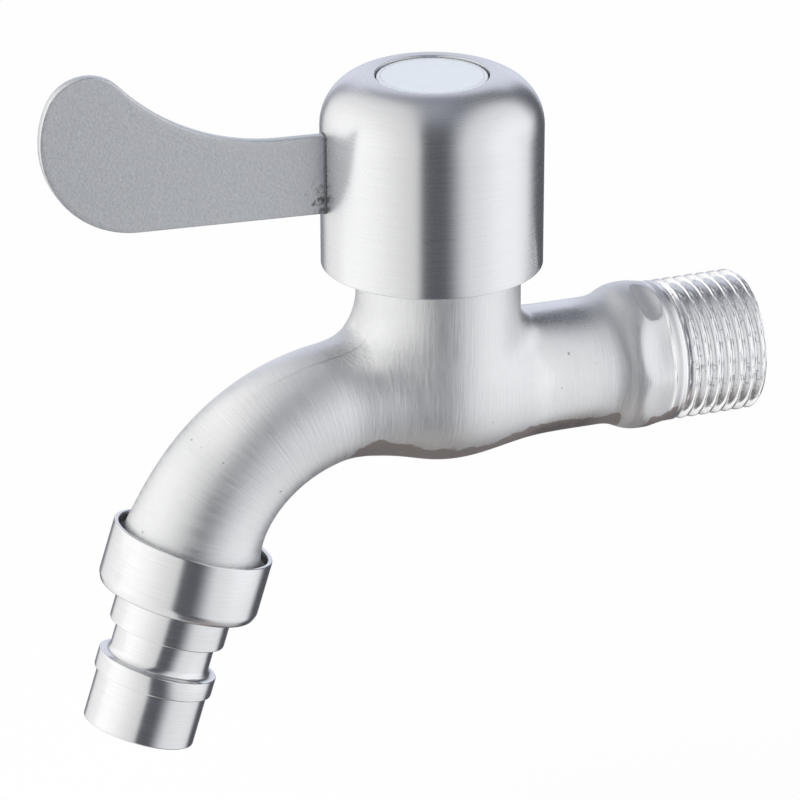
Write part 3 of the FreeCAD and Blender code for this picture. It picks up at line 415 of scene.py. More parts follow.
# %% Wrench collar
COLLAR_RADIUS = 10.95
FLAT_RADIUS = 10.0
WORN_RADIUS = 10.4
FLARE_ARC = 6.5
LAND_START = 31.2
LAND_END = 32.4
FLATS_END = 34.35
WALL_RISE = 1.1
SLOPE_END = 35.1
CUTTER_AT = 33.0
DIP_AT = 32.4
RUN_UP = 6.0
DIP_IN = 2.0
DIP_OUT = 4.0
FLAT_EDGE = 0.05
BELTED_EDGE = 0.9
LEAST_COSINE = 0.1
COLUMNS = 192
WALLED_FLATS = [
    (22.5, FLAT_RADIUS), (157.5, FLAT_RADIUS), (202.5, WORN_RADIUS), (337.5, WORN_RADIUS)]
DIPPED_FLATS = [(112.5, FLAT_RADIUS), (292.5, FLAT_RADIUS)]
angle = np.arange(COLUMNS) * 2 * np.pi / COLUMNS


def collar_radius(x):
    """Radius of the turned blank: pipe, flare of two arcs, full land, and slope to the thread."""
    flare = fall(LAND_START - x, COLLAR_RADIUS, PIPE_RADIUS, FLARE_ARC, FLARE_ARC)
    share = (x - LAND_END) / (SLOPE_END - LAND_END)
    down = COLLAR_RADIUS - (COLLAR_RADIUS - THREAD_RADIUS) * share
    beyond = np.where(x < LAND_END, COLLAR_RADIUS, np.maximum(down, THREAD_RADIUS))
    return np.where(x < LAND_START, flare, beyond)


def flat_reach(off, arc_radius, turned, depth):
    """Radius out to a flat that faces an angle: the flat's depth and what the cutter's arc leaves,
    over the cosine of the angle off it."""
    rise = arc_radius - np.sqrt(arc_radius ** 2 - np.clip(off, 0, arc_radius) ** 2)
    return (depth + rise) / np.clip(np.cos(angle - np.radians(turned)), LEAST_COSINE, 1)


def ground_radius(x):
    """Radius of the collar once its flats are cut, up to a slanted wall or in a dip."""
    blank = radius = collar_radius(x)
    for turned, depth in WALLED_FLATS:
        reach = flat_reach(CUTTER_AT - x, RUN_UP, turned, depth)
        radius = soft_least(radius, reach, BELTED_EDGE)
    wall = FLAT_RADIUS + WALL_RISE * (x - FLATS_END)
    radius = np.minimum(np.maximum(radius, wall), blank)
    for turned, depth in DIPPED_FLATS:
        arc_radius = np.where(x < DIP_AT, DIP_IN, DIP_OUT)
        reach = flat_reach(np.abs(DIP_AT - x), arc_radius, turned, depth)
        radius = soft_least(radius, reach, FLAT_EDGE)
    return radius


print("flats:", len(WALLED_FLATS), "up to the wall and", len(DIPPED_FLATS), "dipped")

# %% [markdown]
# The half-inch pipe thread. A modelled thread beats a bump map, because its crests show in the
# outline. It is one more radius over distance and angle, and a wave whose phase goes once round
# with the angle makes a helix without any winding.

# %% Pipe thread
PITCH = 1.814
THREAD_DEPTH = 1.16
HALF_CREST = 0.06
FLANK = 0.36
FLANK_ROUNDING = 0.45
RUN_OUT_START = 36.0
RUN_OUT_END = 37.7
END_CHAMFER = 0.7


def thread_radius(x, turn):
    """Radius over distance and angle: a wave of one pitch per turn whose flanks are straight and
    whose crests and roots are round, faded in over the run-out and cut by the end chamfer."""
    phase = np.mod(x / PITCH - turn / (2 * np.pi), 1)
    flank = np.clip((np.abs(phase - 0.5) - HALF_CREST) / FLANK, 0, 1)
    wave = flank - np.sin(2 * np.pi * flank) / (2 * np.pi) * FLANK_ROUNDING
    deep = np.clip((x - RUN_OUT_START) / (RUN_OUT_END - RUN_OUT_START), 0, 1)
    chamfer = THREAD_RADIUS - END_CHAMFER + (inlet_end - x)
    return np.minimum(THREAD_RADIUS - THREAD_DEPTH * deep * wave, chamfer)


print("turns of thread:", (inlet_end - RUN_OUT_END) / PITCH)

# %% [markdown]
# The inlet's end becomes one grid. Straight rows would cut across the edges of the flats and leave
# them ragged. So each column first looks for the distances where its flat begins and ends, by
# stepping along the pipe and comparing the ground radius with the blank's.

# %% Edges of the flats
SEARCH_FROM = LAND_START - 2
SEARCH_STEPS = 600
LEAST_CUT = FLAT_EDGE / 4
way = np.linspace(SEARCH_FROM, FLATS_END, SEARCH_STEPS)[:, None] + 0 * angle
ground = ground_radius(way) < collar_radius(way) - LEAST_CUT
first_ground = way[ground.argmax(axis=0), 0]
last_ground = way[len(way) - 1 - ground[::-1].argmax(axis=0), 0]
crease_start = np.where(ground.any(axis=0), first_ground, CUTTER_AT)
crease_end = np.where(ground.any(axis=0), last_ground, CUTTER_AT)
print("columns with a flat:", int(ground.any(axis=0).sum()), "of", COLUMNS)

# %% [markdown]
# Now the rows can bend to pass through those points. Over the thread they are close, so that its
# crests stay round. At the far end the grid turns in and goes back down the bore.

# %% Grid of the inlet's end
FLARE_ROWS = 30
FLAT_ROWS = 13
WALL_ROWS = 4
SLOPE_ROWS = 12
BORE_ROWS = 8
ROWS_PER_PITCH = 20
SEAM = 0.2


def rows_between(start, end, count):
    """Rows of distances spread evenly from one ring to the next, the last one left out."""
    share = np.arange(count)[:, None] / count
    return start + (end - start) * share


first_row = CUT + SEAM
flat_x = np.concatenate([
    rows_between(first_row, crease_start, FLARE_ROWS),
    rows_between(crease_start, crease_end, FLAT_ROWS),
    rows_between(crease_end, FLATS_END, WALL_ROWS),
    rows_between(FLATS_END, SLOPE_END, SLOPE_ROWS) + 0 * angle])
flat_r = ground_radius(flat_x)
thread_x = np.arange(SLOPE_END, inlet_end, PITCH / ROWS_PER_PITCH)[:, None] + 0 * angle
thread_x = np.concatenate([thread_x, np.full((1, COLUMNS), inlet_end)])
thread_r = thread_radius(thread_x, angle)
bore_x = np.concatenate([
    np.full((2, COLUMNS), inlet_end),
    rows_between(inlet_end, first_row, BORE_ROWS)[1:] + 0 * angle,
    np.full((1, COLUMNS), first_row)])
bore_r = np.full_like(bore_x, INLET_BORE)
bore_r[0] = (thread_r[-1] + INLET_BORE) / 2
end_x = np.concatenate([flat_x, thread_x, bore_x])
end_r = np.concatenate([flat_r, thread_r, bore_r])
end_points = np.stack([end_x, end_r * np.cos(angle), end_r * np.sin(angle)], axis=-1)
end_points = end_points.reshape(-1, 3)
print("inlet end:", end_x.shape, "rows and columns")

# %% [markdown]
# The casting's skin and the inlet's end are two meshes with open rings at the cut, with different
# numbers of points. They are sewn with triangles: going once round, each point is joined to the
# point before it on its own ring and to the point last passed on the other ring. Bridge Edge Loops
# does the same by hand, in Edit Mode.

# %% Sew the casting to its inlet


def sew(first, first_turn, second, second_turn):
    """Triangles between two rings of point numbers, both sorted by angle."""
    behind = (np.searchsorted(second_turn, first_turn, side="right") - 1) % len(second)
    one = np.stack([np.roll(first, 1), first, second[behind]], axis=1)
    behind = (np.searchsorted(first_turn, second_turn, side="left") - 1) % len(first)
    two = np.stack([second, np.roll(second, 1), first[behind]], axis=1)
    return np.concatenate([one, two])


turn_round = np.mod(np.arctan2(casting_points[:, 2], casting_points[:, 1]), 2 * np.pi)
off_axis = np.hypot(casting_points[:, 1], casting_points[:, 2])
middle = (PIPE_RADIUS + INLET_BORE) / 2
start = len(casting_points)
end_faces = grid_faces(len(end_x), COLUMNS, first=start)[:, ::-1]
outer_ring, inner_ring = at_cut & (off_axis > middle), at_cut & (off_axis < middle)
seams = []
for chosen, row in ((outer_ring, 0), (inner_ring, len(end_x) - 1)):
    ring = np.nonzero(chosen)[0]
    ring = ring[np.argsort(turn_round[ring])]
    other = start + row * COLUMNS + np.arange(COLUMNS)
    triangles = sew(ring, turn_round[ring], other, angle)
    seams.append(triangles if row else triangles[:, ::-1])
tap_points = np.concatenate([casting_points, end_points])
skins = [casting_faces, end_faces, *seams]
casting = add_piece("TapCasting", tap_points, skins, "tap", ["tap_body"])

# %% [markdown]
# Turned pieces. The cap, the index disc and the nozzle come off a lathe, so each is a profile
# carried round an axis. The Spin tool and the Screw modifier do that too, but a grid of known rows
# closes on itself without doubles. A profile is written as a turner would: straight cuts between
# corners, and arcs where the tool is rounded. Corners get a tiny radius, because a broken edge
# catches the light and a perfect one never does.

# %% Profiles and turning
MOST_OF_SIDE = 0.45


def arc(centre, radius, start, end, count):
    """Points on an arc from one angle to another, in degrees: the centre plus the radius times
    the angle's cosine and sine."""
    swept = np.radians(np.linspace(start, end, count))
    return np.asarray(centre) + radius * np.stack([np.cos(swept), np.sin(swept)], axis=1)


def eased(corners, radius, count):
    """A closed profile with each corner cut by a small round, which leaves the corner's first
    side and joins its second one at the same distance from the corner. Its points are weighted
    means of start, corner and end, and the weights are squares and products of two shares."""
    corners = np.asarray(corners, float)
    before, after = np.roll(corners, 1, axis=0) - corners, np.roll(corners, -1, axis=0) - corners
    length_before = np.linalg.norm(before, axis=1)[:, None]
    length_after = np.linalg.norm(after, axis=1)[:, None]
    reach = np.minimum(radius, np.minimum(length_before, length_after) * MOST_OF_SIDE)
    start = corners + before / length_before * reach
    end = corners + after / length_after * reach
    share = np.linspace(0, 1, count)[:, None, None]
    rounded = start * (1 - share) ** 2 + corners * 2 * share * (1 - share) + end * share ** 2
    return rounded.transpose(1, 0, 2).reshape(-1, 2)


def spread_evenly(line, count, closed=False):
    """Points spread evenly over the length of a line, and the way to each: lengths are summed up
    from point to point, and each coordinate is read off at even steps of the sum."""
    way = np.concatenate([[0], np.cumsum(np.linalg.norm(np.diff(line, axis=0), axis=1))])
    even = np.linspace(0, way[-1], count, endpoint=not closed)
    return np.stack([np.interp(even, way, side) for side in line.T], axis=1), even


def turned_points(profile, columns, axis_at=(0.0, 0.0, 0.0), axis_tilt=0.0):
    """A profile of (radius, distance along the axis) carried round an axis that passes a point and
    leans from the upright towards the wall by an angle: cosine and sine of the angle swept place
    each point round the axis, and those of the lean tip the whole."""
    swept = np.arange(columns) * 2 * np.pi / columns
    radius, way = profile[:, 0][:, None], profile[:, 1][:, None]
    side, back = radius * np.cos(swept), radius * np.sin(swept)
    x = side * np.cos(axis_tilt) + way * np.sin(axis_tilt)
    z = -side * np.sin(axis_tilt) + way * np.cos(axis_tilt)
    return np.stack([x, back + 0 * x, z], axis=-1).reshape(-1, 3) + axis_at


square = [(0, 0), (1, 0), (1, 1), (0, 1)]
print("a square with eased corners has", len(eased(square, radius=0.2, count=4)), "points")

# %% [markdown]
# The handle's cap: a cup turned from bar, its side almost straight and its shoulder one large arc
# that ends at the recess for the index disc. Inside are the wall and the boss that holds the
# splined bush. A bevelled cylinder would look much the same from above, but the profile also gives
# the hollow that shows from below.

# %% Handle cap
CAP_BOTTOM = 19.28
CAP_TOP = 48.03
CAP_FOOT_RADIUS = 16.2
CAP_RADIUS = 16.33
SHOULDER = 7.6
CAP_WALL = 1.6
RECESS_RADIUS = 8.35
RECESS_FLOOR = 44.63
BUSH_TOP = 43.23
BUSH_BOTTOM = 35.23
BUSH_RADIUS = 6.5
BOSS_RADIUS = 9.55
SCREW_WAY = 4.4
FOOT_ROUND = 0.22
FOOT_POINTS = 6
LIP_ROUND = 0.15
SIDE_FROM = (CAP_FOOT_RADIUS + 0.005, CAP_BOTTOM + 1)
BOSS_AT = 82
shoulder_centre = (CAP_RADIUS - SHOULDER, CAP_TOP - SHOULDER)
foot_inside = (CAP_FOOT_RADIUS - CAP_WALL, CAP_BOTTOM)
foot_corners = [foot_inside, (CAP_FOOT_RADIUS, CAP_BOTTOM), (CAP_FOOT_RADIUS, CAP_TOP)]
foot = eased(foot_corners, FOOT_ROUND, FOOT_POINTS)[FOOT_POINTS:2 * FOOT_POINTS]
side = np.linspace(SIDE_FROM, (CAP_RADIUS, CAP_TOP - SHOULDER), num=12)
shoulder = arc(shoulder_centre, SHOULDER, 0, 90, count=40)[1:]
lip = arc((RECESS_RADIUS + LIP_ROUND, CAP_TOP - LIP_ROUND), LIP_ROUND, 90, 180, count=5)
inside = np.array([
    (RECESS_RADIUS, RECESS_FLOOR), (SCREW_WAY, RECESS_FLOOR), (SCREW_WAY, BUSH_TOP),
    (BUSH_RADIUS, BUSH_TOP), (BUSH_RADIUS, BUSH_BOTTOM), (BOSS_RADIUS, BUSH_BOTTOM)])
inner_shoulder = arc(shoulder_centre, SHOULDER - CAP_WALL, BOSS_AT, 0, count=16)
inner_side = np.array([foot_inside])
cap_profile = np.concatenate([foot, side, shoulder, lip, inside, inner_shoulder, inner_side])
CAP_COLUMNS = 240
cap_points = turned_points(cap_profile, CAP_COLUMNS)
cap_faces = grid_faces(len(cap_profile), CAP_COLUMNS, loop=True)
cap = add_piece("HandleCap", cap_points, [cap_faces], "handle", ["handle_cap"])

# %% [markdown]
# The index disc: a thin moulded plastic disc with a rim below that presses into the recess. Its
# face is crowned by a tenth of a millimetre, as mouldings are. A quite flat face would show a
# single tone, and the crown gives it a slow change from edge to edge.

# %% Index disc
DISC_RADIUS = 8.15
DISC_TOP = 47.93
DISC_FACE = 1.2
DISC_RIM = 0.8
DISC_CROWN = 0.12
DISC_EDGE = 0.3
AT_AXIS = 0.02
face_r = np.linspace(AT_AXIS, DISC_RADIUS - DISC_EDGE, num=14)
face = np.stack([face_r, DISC_TOP - DISC_CROWN * (face_r / DISC_RADIUS) ** 2], axis=1)
edge_centre = (DISC_RADIUS - DISC_EDGE, DISC_TOP - DISC_CROWN - DISC_EDGE)
rim_edge = arc(edge_centre, DISC_EDGE, 90, 0, count=6)[1:]
below = np.array([
    (DISC_RADIUS, RECESS_FLOOR), (DISC_RADIUS - DISC_RIM, RECESS_FLOOR),
    (DISC_RADIUS - DISC_RIM, DISC_TOP - DISC_FACE), (AT_AXIS, DISC_TOP - DISC_FACE)])
disc_profile = np.concatenate([face, rim_edge, below])
DISC_COLUMNS = 128
disc_points = turned_points(disc_profile, DISC_COLUMNS)
disc_faces = grid_faces(len(disc_profile), DISC_COLUMNS, loop=True)[:, ::-1]
disc = add_piece("IndexDisc", disc_points, [disc_faces], "handle", ["index_disc"])

# %% [markdown]
# The hose nozzle: turned from bar, with a plain round collar that screws onto the spout, a neck, a
# groove for a snap ring and a plain tail for the hose. Cylinders could be stacked up to it, but
# they'd leave faces inside where they meet. Its axis is the spout's, so the bend gives its place
# and its lean. The profile goes down the outside and back up the bore, and all its heights are
# measured from the collar's rim.

# %% Hose nozzle
NOZZLE_LEAN = np.pi / 2 - SPOUT_TURN
RIM_ABOVE = 0.71
RIM_BORE = 11.3
RIM_STEP = 1.6
NOZZLE_COLLAR = 12.0
COLLAR_BORE = 10.51
COLLAR_DEPTH = 8.2
COLLAR_SHOULDER = (11.56, 9.26)
COLLAR_FOOT = 10.5
NECK_FROM = 9.7
NOZZLE_NECK = 8.65
GROOVE = 7.42
GROOVE_FROM = 14.5
GROOVE_TO = 19.3
GROOVE_FILLET = [(GROOVE, 18.4), (7.68, 19.04), (8.32, GROOVE_TO)]
SNAP_RING = 8.85
RING_TO = 22.2
TAIL = 8.3
TAIL_BORE = 6.0
NOZZLE_LENGTH = 30.0
NOZZLE_EDGE = 0.3
bend_end = np.array([
    bend_start - SPOUT_BEND * np.sin(SPOUT_TURN), 0, -SPOUT_BEND * (1 - np.cos(SPOUT_TURN))])
nozzle_axis = np.array([np.sin(NOZZLE_LEAN), 0, np.cos(NOZZLE_LEAN)])
rim_centre = bend_end + RIM_ABOVE * nozzle_axis
outline = [
    (RIM_BORE, 0), (NOZZLE_COLLAR, 0), (NOZZLE_COLLAR, COLLAR_DEPTH), COLLAR_SHOULDER,
    (COLLAR_FOOT, NECK_FROM), (NOZZLE_NECK, NECK_FROM), (NOZZLE_NECK, GROOVE_FROM),
    (GROOVE, GROOVE_FROM), *GROOVE_FILLET, (SNAP_RING, GROOVE_TO),
    (SNAP_RING, RING_TO), (TAIL, RING_TO), (TAIL, NOZZLE_LENGTH), (TAIL_BORE, NOZZLE_LENGTH),
    (TAIL_BORE, COLLAR_DEPTH), (COLLAR_BORE, COLLAR_DEPTH), (COLLAR_BORE, RIM_STEP),
    (RIM_BORE, RIM_STEP)]
nozzle_profile = eased(outline, NOZZLE_EDGE, count=5) * [1, -1]
NOZZLE_COLUMNS = 200
nozzle_points = turned_points(nozzle_profile, NOZZLE_COLUMNS, rim_centre, NOZZLE_LEAN)
nozzle_faces = grid_faces(len(nozzle_profile), NOZZLE_COLUMNS, loop=True)[:, ::-1]
nozzle = add_piece(
    "HoseNozzle", nozzle_points, [nozzle_faces], "tap", ["hose_nozzle"])

# %% [markdown]
# The lever: a flat plate cut from sheet and welded to the cap. Its outline is drawn as the die
# maker would, with straights and arcs, as one lower and one upper edge that both run from the cap
# to the tip. Joining them point by point fills the face, which suits a long narrow plate better
# than filling a closed outline, because every face of the grid stays four-sided.

# %% Lever's outline
LEVER_BOTTOM = 28.54
LEVER_TOP = 40.47
END_CENTRE = np.array([-44.2, 43.04])
END_RADIUS = 14.5
END_ANGLE = 180 - 23.4
TIP_RADIUS = 6.55
TIP_ANGLE = 180 - 136.5
TIP_MIDDLE = 100.0
ROOT_DEPTH = 15.4
LEVER_ROWS = 140
ARC_POINTS = 60


def lever_edges(count):
    """The plate's lower and upper edge from root to tip, as points in the plate's plane, and the
    directions that point out of the plate there: each edge's own direction, turned by a right
    angle. Both edges are spread evenly over their length."""
    low_level = np.array([[-ROOT_DEPTH, LEVER_BOTTOM], [END_CENTRE[0], LEVER_BOTTOM]])
    large = arc(END_CENTRE, END_RADIUS, 270, END_ANGLE, ARC_POINTS)
    tip_centre = large[-1] + (END_CENTRE - large[-1]) * TIP_RADIUS / END_RADIUS
    small_low = arc(tip_centre, TIP_RADIUS, END_ANGLE, TIP_MIDDLE, count=12)
    small_high = arc(tip_centre, TIP_RADIUS, TIP_ANGLE, TIP_MIDDLE, count=40)
    heading = np.array([np.cos(np.radians(TIP_ANGLE)), np.sin(np.radians(TIP_ANGLE))])
    height = tip_centre[1] + TIP_RADIUS * heading[1] - LEVER_TOP
    hollow_radius = height / (1 - heading[1])
    hollow_centre = tip_centre + (TIP_RADIUS + hollow_radius) * heading
    hollow = arc(hollow_centre, hollow_radius, 270, 180 + TIP_ANGLE, ARC_POINTS)
    high_level = np.array([[-ROOT_DEPTH, LEVER_TOP]])
    low_pieces = [low_level, large[1:], small_low[1:]]
    high_pieces = [high_level, hollow, small_high[1:]]
    edges = []
    for pieces, turned_by in ((low_pieces, -1), (high_pieces, 1)):
        line, way = spread_evenly(np.concatenate(pieces), count)
        along = np.gradient(line, axis=0)
        along /= np.linalg.norm(along, axis=1)[:, None]
        edges.append((line, turned_by * np.stack([along[:, 1], -along[:, 0]], axis=1)))
    return edges


(low_line, low_out), (high_line, high_out) = lever_edges(LEVER_ROWS)
tip_out = low_out[-1] + high_out[-1]
low_out[-1] = high_out[-1] = tip_out / np.linalg.norm(tip_out)
print("tip of the lever at", low_line[-1], "in the plate's plane")

# %% [markdown]
# The plate's body. At every row of the outline one closed ring goes across the front, round the
# upper edge, across the back and round the lower edge. The edges are rounded, as tumbling leaves
# them. Solidify and Bevel could give the flat face its thickness and its round too, but rings keep
# the narrow faces at the tip in order. The plate is made flat and upright and then turned off the
# middle plane.

# %% Lever plate
LEVER_THICKNESS = 1.6
LEVER_ANGLE = np.radians(6.0)
EDGE_ROUND = 0.2
EDGE_ROWS = 6
LEVER_FACE = 24
share = np.linspace(0, 1, LEVER_FACE)[None, :, None]
low_in, high_in = low_line - EDGE_ROUND * low_out, high_line - EDGE_ROUND * high_out
face = low_in[:, None] + (high_in - low_in)[:, None] * share
half = LEVER_THICKNESS / 2
turn = np.linspace(0, np.pi, EDGE_ROWS * 2)[None, 1:-1, None]
out = EDGE_ROUND * np.sin(turn)
front_half = -half + EDGE_ROUND * (1 - np.cos(turn))
back_half = half - EDGE_ROUND * (1 + np.cos(turn))
depth = np.where(turn < np.pi / 2, front_half, back_half)[..., 0]
upper = high_in[:, None] + high_out[:, None] * out
lower = low_in[:, None] + low_out[:, None] * out
plane = np.concatenate([face, upper, face[:, ::-1], lower], axis=1)
back_face = np.full((1, LEVER_FACE), half)
thick = np.concatenate([-back_face, depth, back_face, -depth], axis=1)
thick = thick + np.zeros((LEVER_ROWS, 1))
flat = np.stack([plane[..., 0], thick, plane[..., 1]], axis=-1).reshape(-1, 3)
cosine, sine = np.cos(LEVER_ANGLE), np.sin(LEVER_ANGLE)
lever_turn = np.array([[cosine, -sine, 0], [sine, cosine, 0], [0, 0, 1]])
lever_points = flat @ lever_turn
ring_size = plane.shape[1]
root_cap = np.arange(ring_size)[None, ::-1]
lever_faces = [grid_faces(LEVER_ROWS, ring_size), root_cap]
lever = add_piece(
    "LeverPlate", lever_points, lever_faces, "handle", ["lever_plate"])

# %% [markdown]
# The weld that holds the lever: a thin bead laid once round the plate where it meets the cap. A
# curve with a round bevel would give an even tube. But a welder's bead sets in ripples, so the
# radius of this small closed tube rises and falls along it.

# %% Weld bead
BEAD_RADIUS = 0.2
RIPPLE = 0.18
RIPPLE_PITCH = 0.8
BEAD_CORNER = 0.5
BEAD_ROWS = 220
BEAD_COLUMNS = 10
bead_corners = [
    (-half, LEVER_BOTTOM), (half, LEVER_BOTTOM), (half, LEVER_TOP), (-half, LEVER_TOP)]
bead_line = eased(bead_corners, BEAD_CORNER, count=8)
bead_line = np.concatenate([bead_line, bead_line[:1]])
bead_line, bead_way = spread_evenly(bead_line, BEAD_ROWS, closed=True)
bead_heading = np.roll(bead_line, -1, axis=0) - np.roll(bead_line, 1, axis=0)
bead_heading /= np.linalg.norm(bead_heading, axis=1)[:, None]
ripples = 1 + RIPPLE * np.sin(2 * np.pi * bead_way / RIPPLE_PITCH)
swept = np.arange(BEAD_COLUMNS) * 2 * np.pi / BEAD_COLUMNS
bead_reach = BEAD_RADIUS * ripples[:, None]
bead_out = bead_reach * np.sin(swept)
bead = np.stack([
    -np.sqrt(CAP_RADIUS ** 2 - bead_line[:, :1] ** 2) - bead_reach * np.cos(swept),
    bead_line[:, :1] + bead_out * bead_heading[:, 1:],
    bead_line[:, 1:] - bead_out * bead_heading[:, :1]], axis=-1).reshape(-1, 3)
bead_faces = grid_faces(BEAD_ROWS, BEAD_COLUMNS, loop=True)
weld = add_piece("WeldBead", bead @ lever_turn, [bead_faces], "handle")

# %% [markdown]
# That is the outside. Now the finishes. Materials are graphs of nodes, and written out by hand they
# are hard to read, so one small class wraps a socket and lets the usual signs of arithmetic add
# Math nodes.

# %% Shader maths


class Value:
    """A socket's number in a material; arithmetic on it adds Math nodes."""

    def __init__(self, graph, socket):
        self.graph, self.socket = graph, socket

    def _math(self, operation, first, second=None):
        """One Math node on one or two values."""
        inputs = {0: first} if second is None else {0: first, 1: second}
        return self.graph.node("ShaderNodeMath", {"operation": operation}, inputs)

    def __add__(self, other):
        return self._math("ADD", self, other)

    def __radd__(self, other):
        return self._math("ADD", other, self)

    def __sub__(self, other):
        return self._math("SUBTRACT", self, other)

    def __rsub__(self, other):
        return self._math("SUBTRACT", other, self)

    def __mul__(self, other):
        return self._math("MULTIPLY", self, other)

    def __rmul__(self, other):
        return self._math("MULTIPLY", other, self)

    def __truediv__(self, other):
        return self._math("DIVIDE", self, other)

    def __pow__(self, other):
        return self._math("POWER", self, other)

    def absolute(self):
        """The value without its sign."""
        return self._math("ABSOLUTE", self)

    def least(self, other):
        """The lesser of two values."""
        return self._math("MINIMUM", self, other)

    def most(self, other):
        """The greater of two values."""
        return self._math("MAXIMUM", self, other)

    def arcsine(self):
        """The angle whose sine is this value."""
        return self._math("ARCSINE", self)

    def slope_over(self, run):
        """The angle of a slope that rises by this value over a run."""
        return self._math("ARCTAN2", self, run)

    def off_axis(self, other):
        """Distance from an axis: the root of the sum of two squares."""
        return (self * self + other * other) ** 0.5

    def between(self, low, high):
        """0 below low, 1 above high and a smooth ramp between."""
        settings = {"interpolation_type": "SMOOTHSTEP"}
        inputs = {"Value": self, "From Min": low, "From Max": high}
        return self.graph.node("ShaderNodeMapRange", settings, inputs)

    def band(self, rise, drop):
        """1 between two ramps and 0 outside them: the first ramp times one less the second."""
        return self.between(*rise) * (1 - self.between(*drop))


print("signs that add Math nodes: + - * / **")

# %% [markdown]
# The second class holds a tree of nodes while it is built. Any node comes from one method, which
# takes its kind, its settings and the values or links of its sockets. The Mix node keeps its
# sockets for numbers, vectors and colours side by side, so those for colours are picked by their
# number.

# %% Trees of nodes
COLOUR_A, COLOUR_B, COLOUR_OUT = 6, 7, 2


def ramp_stops(ramp, count):
    """A colour ramp's stops, once there are as many as are needed."""
    while len(ramp.elements) < count:
        ramp.elements.new(0.5)
    return ramp.elements


class Graph:
    """A tree of nodes being built."""

    def __init__(self, tree):
        self.tree = tree

    def node(self, kind, settings=None, inputs=None, output=0):
        """One node: its settings first, then the values or links of its sockets."""
        made = self.tree.nodes.new(kind)
        for word, setting in (settings or {}).items():
            if word == "stops":
                stops = ramp_stops(made.color_ramp, len(setting))
                for stop, (place, colour) in zip(stops, setting):
                    stop.position, stop.color = place, (*colour, 1)
            else:
                setattr(made, word, setting)
        for socket, given in (inputs or {}).items():
            self.set(made.inputs[socket], given)
        return Value(self, made.outputs[output])

    def set(self, socket, given):
        """A socket gets a link to a value, or a plain setting; a colour gets its fourth part."""
        if isinstance(given, Value):
            self.tree.links.new(given.socket, socket)
        elif socket.type == "RGBA" and len(given) == 3:
            socket.default_value = (*given, 1)
        else:
            socket.default_value = given

    def split(self, where):
        """The three parts of a vector."""
        parts = self.node("ShaderNodeSeparateXYZ", {}, {0: where}).socket.node
        return [Value(self, output) for output in parts.outputs]

    def mix(self, share, first, second):
        """A colour between two, by a share."""
        inputs = {"Factor": share, COLOUR_A: first, COLOUR_B: second}
        return self.node("ShaderNodeMix", {"data_type": "RGBA"}, inputs, output=COLOUR_OUT)


print("colours of a Mix node: inputs", COLOUR_A, "and", COLOUR_B, "and output", COLOUR_OUT)

# %% [markdown]
# A finish is such a tree round one Principled shader. It knows the patterns that this tap needs.
# Places come as object coordinates in millimetres, so that a pattern has the size of the real one
# and follows its piece when it moves.

# %% Finishes
ROUND_RING = 0.15


class Finish(Graph):
    """A material being built round one Principled shader."""

    def __init__(self, name):
        self.material = bpy.data.materials.new(name)
        self.material.use_nodes = True
        super().__init__(self.material.node_tree)
        self.shader = self.tree.nodes["Principled BSDF"]

    def surface(self, **inputs):
        """Values or links for the Principled shader; _ in a word stands for a space."""
        for word, given in inputs.items():
            self.set(self.shader.inputs[word.replace("_", " ")], given)

    def show(self, shader):
        """The material shows a shader other than its Principled one."""
        self.set(self.tree.nodes["Material Output"].inputs["Surface"], shader)

    def place(self, scale=(1, 1, 1), turn=(0, 0, 0), centre=(0, 0, 0)):
        """Object coordinates in millimetres about a centre, turned and then stretched."""
        here = self.node("ShaderNodeTexCoord", output="Object")
        about = [-value * MM for value in np.asarray(centre) + crossing]
        moved = self.node("ShaderNodeVectorMath", {"operation": "ADD"}, {0: here, 1: about})
        inputs = {"Vector": moved, "Rotation": turn}
        turned = self.node("ShaderNodeMapping", {"vector_type": "TEXTURE"}, inputs)
        inputs = {0: turned, 1: [value / MM for value in scale]}
        return self.node("ShaderNodeVectorMath", {"operation": "MULTIPLY"}, inputs)

    def profile(self, value, stops):
        """A level read from stops of (place, level) by a value. The ramp holds places as shares of
        their span and levels as shares of the greatest, so what it reads is multiplied by that."""
        low, high = stops[0][0], stops[-1][0]
        most = max(level for place, level in stops)
        grey = [((place - low) / (high - low), (level / most,) * 3) for place, level in stops]
        share = (value - low) / (high - low)
        return self.node("ShaderNodeValToRGB", {"stops": grey}, {"Fac": share}) * most

    def noise(self, where, scale=1.0, detail=2.0, roughness=0.5):
        """Cloudy noise between 0 and 1, with so many clouds to the millimetre."""
        inputs = {"Vector": where, "Scale": scale, "Detail": detail, "Roughness": roughness}
        return self.node("ShaderNodeTexNoise", {}, inputs)

    def lathe_lines(self, spacing, turn=(0, 0, 0), centre=(0, 0, 0)):
        """Noise drawn out into fine rings round an axis, as a tool or a belt leaves them: it
        hardly changes round the axis, and fast with the way along the axis and away from it."""
        x, y, z = self.split(self.place(turn=turn, centre=centre))
        way = (z - x.off_axis(y)) / spacing
        inputs = {"X": x * ROUND_RING, "Y": y * ROUND_RING, "Z": way}
        rings = self.node("ShaderNodeCombineXYZ", {}, inputs)
        return self.noise(rings, detail=3.0, roughness=0.6)

    def bump(self, height, depth=1.0):
        """A bent normal from a height times a depth, in millimetres."""
        return self.node("ShaderNodeBump", {}, {"Height": height * (depth * MM), "Distance": 1.0})


def dress(piece, finish):
    """A piece wears one finish and nothing else."""
    piece.data.materials.clear()
    piece.data.materials.append(finish.material)
    print(piece.name, "wears", finish.material.name, "of", len(finish.tree.nodes), "nodes")


print("rings are noise that changes", ROUND_RING, "times to the millimetre round the axis")

# %% [markdown]
# The casting. It was blasted and then brushed with a fine belt: upright lines on neck and belly,
# lines across the spout and the pipe. Both are noise that is squeezed along one direction and drawn
# out along the other. Everything here is position on the object, so it needs no unwrapping.

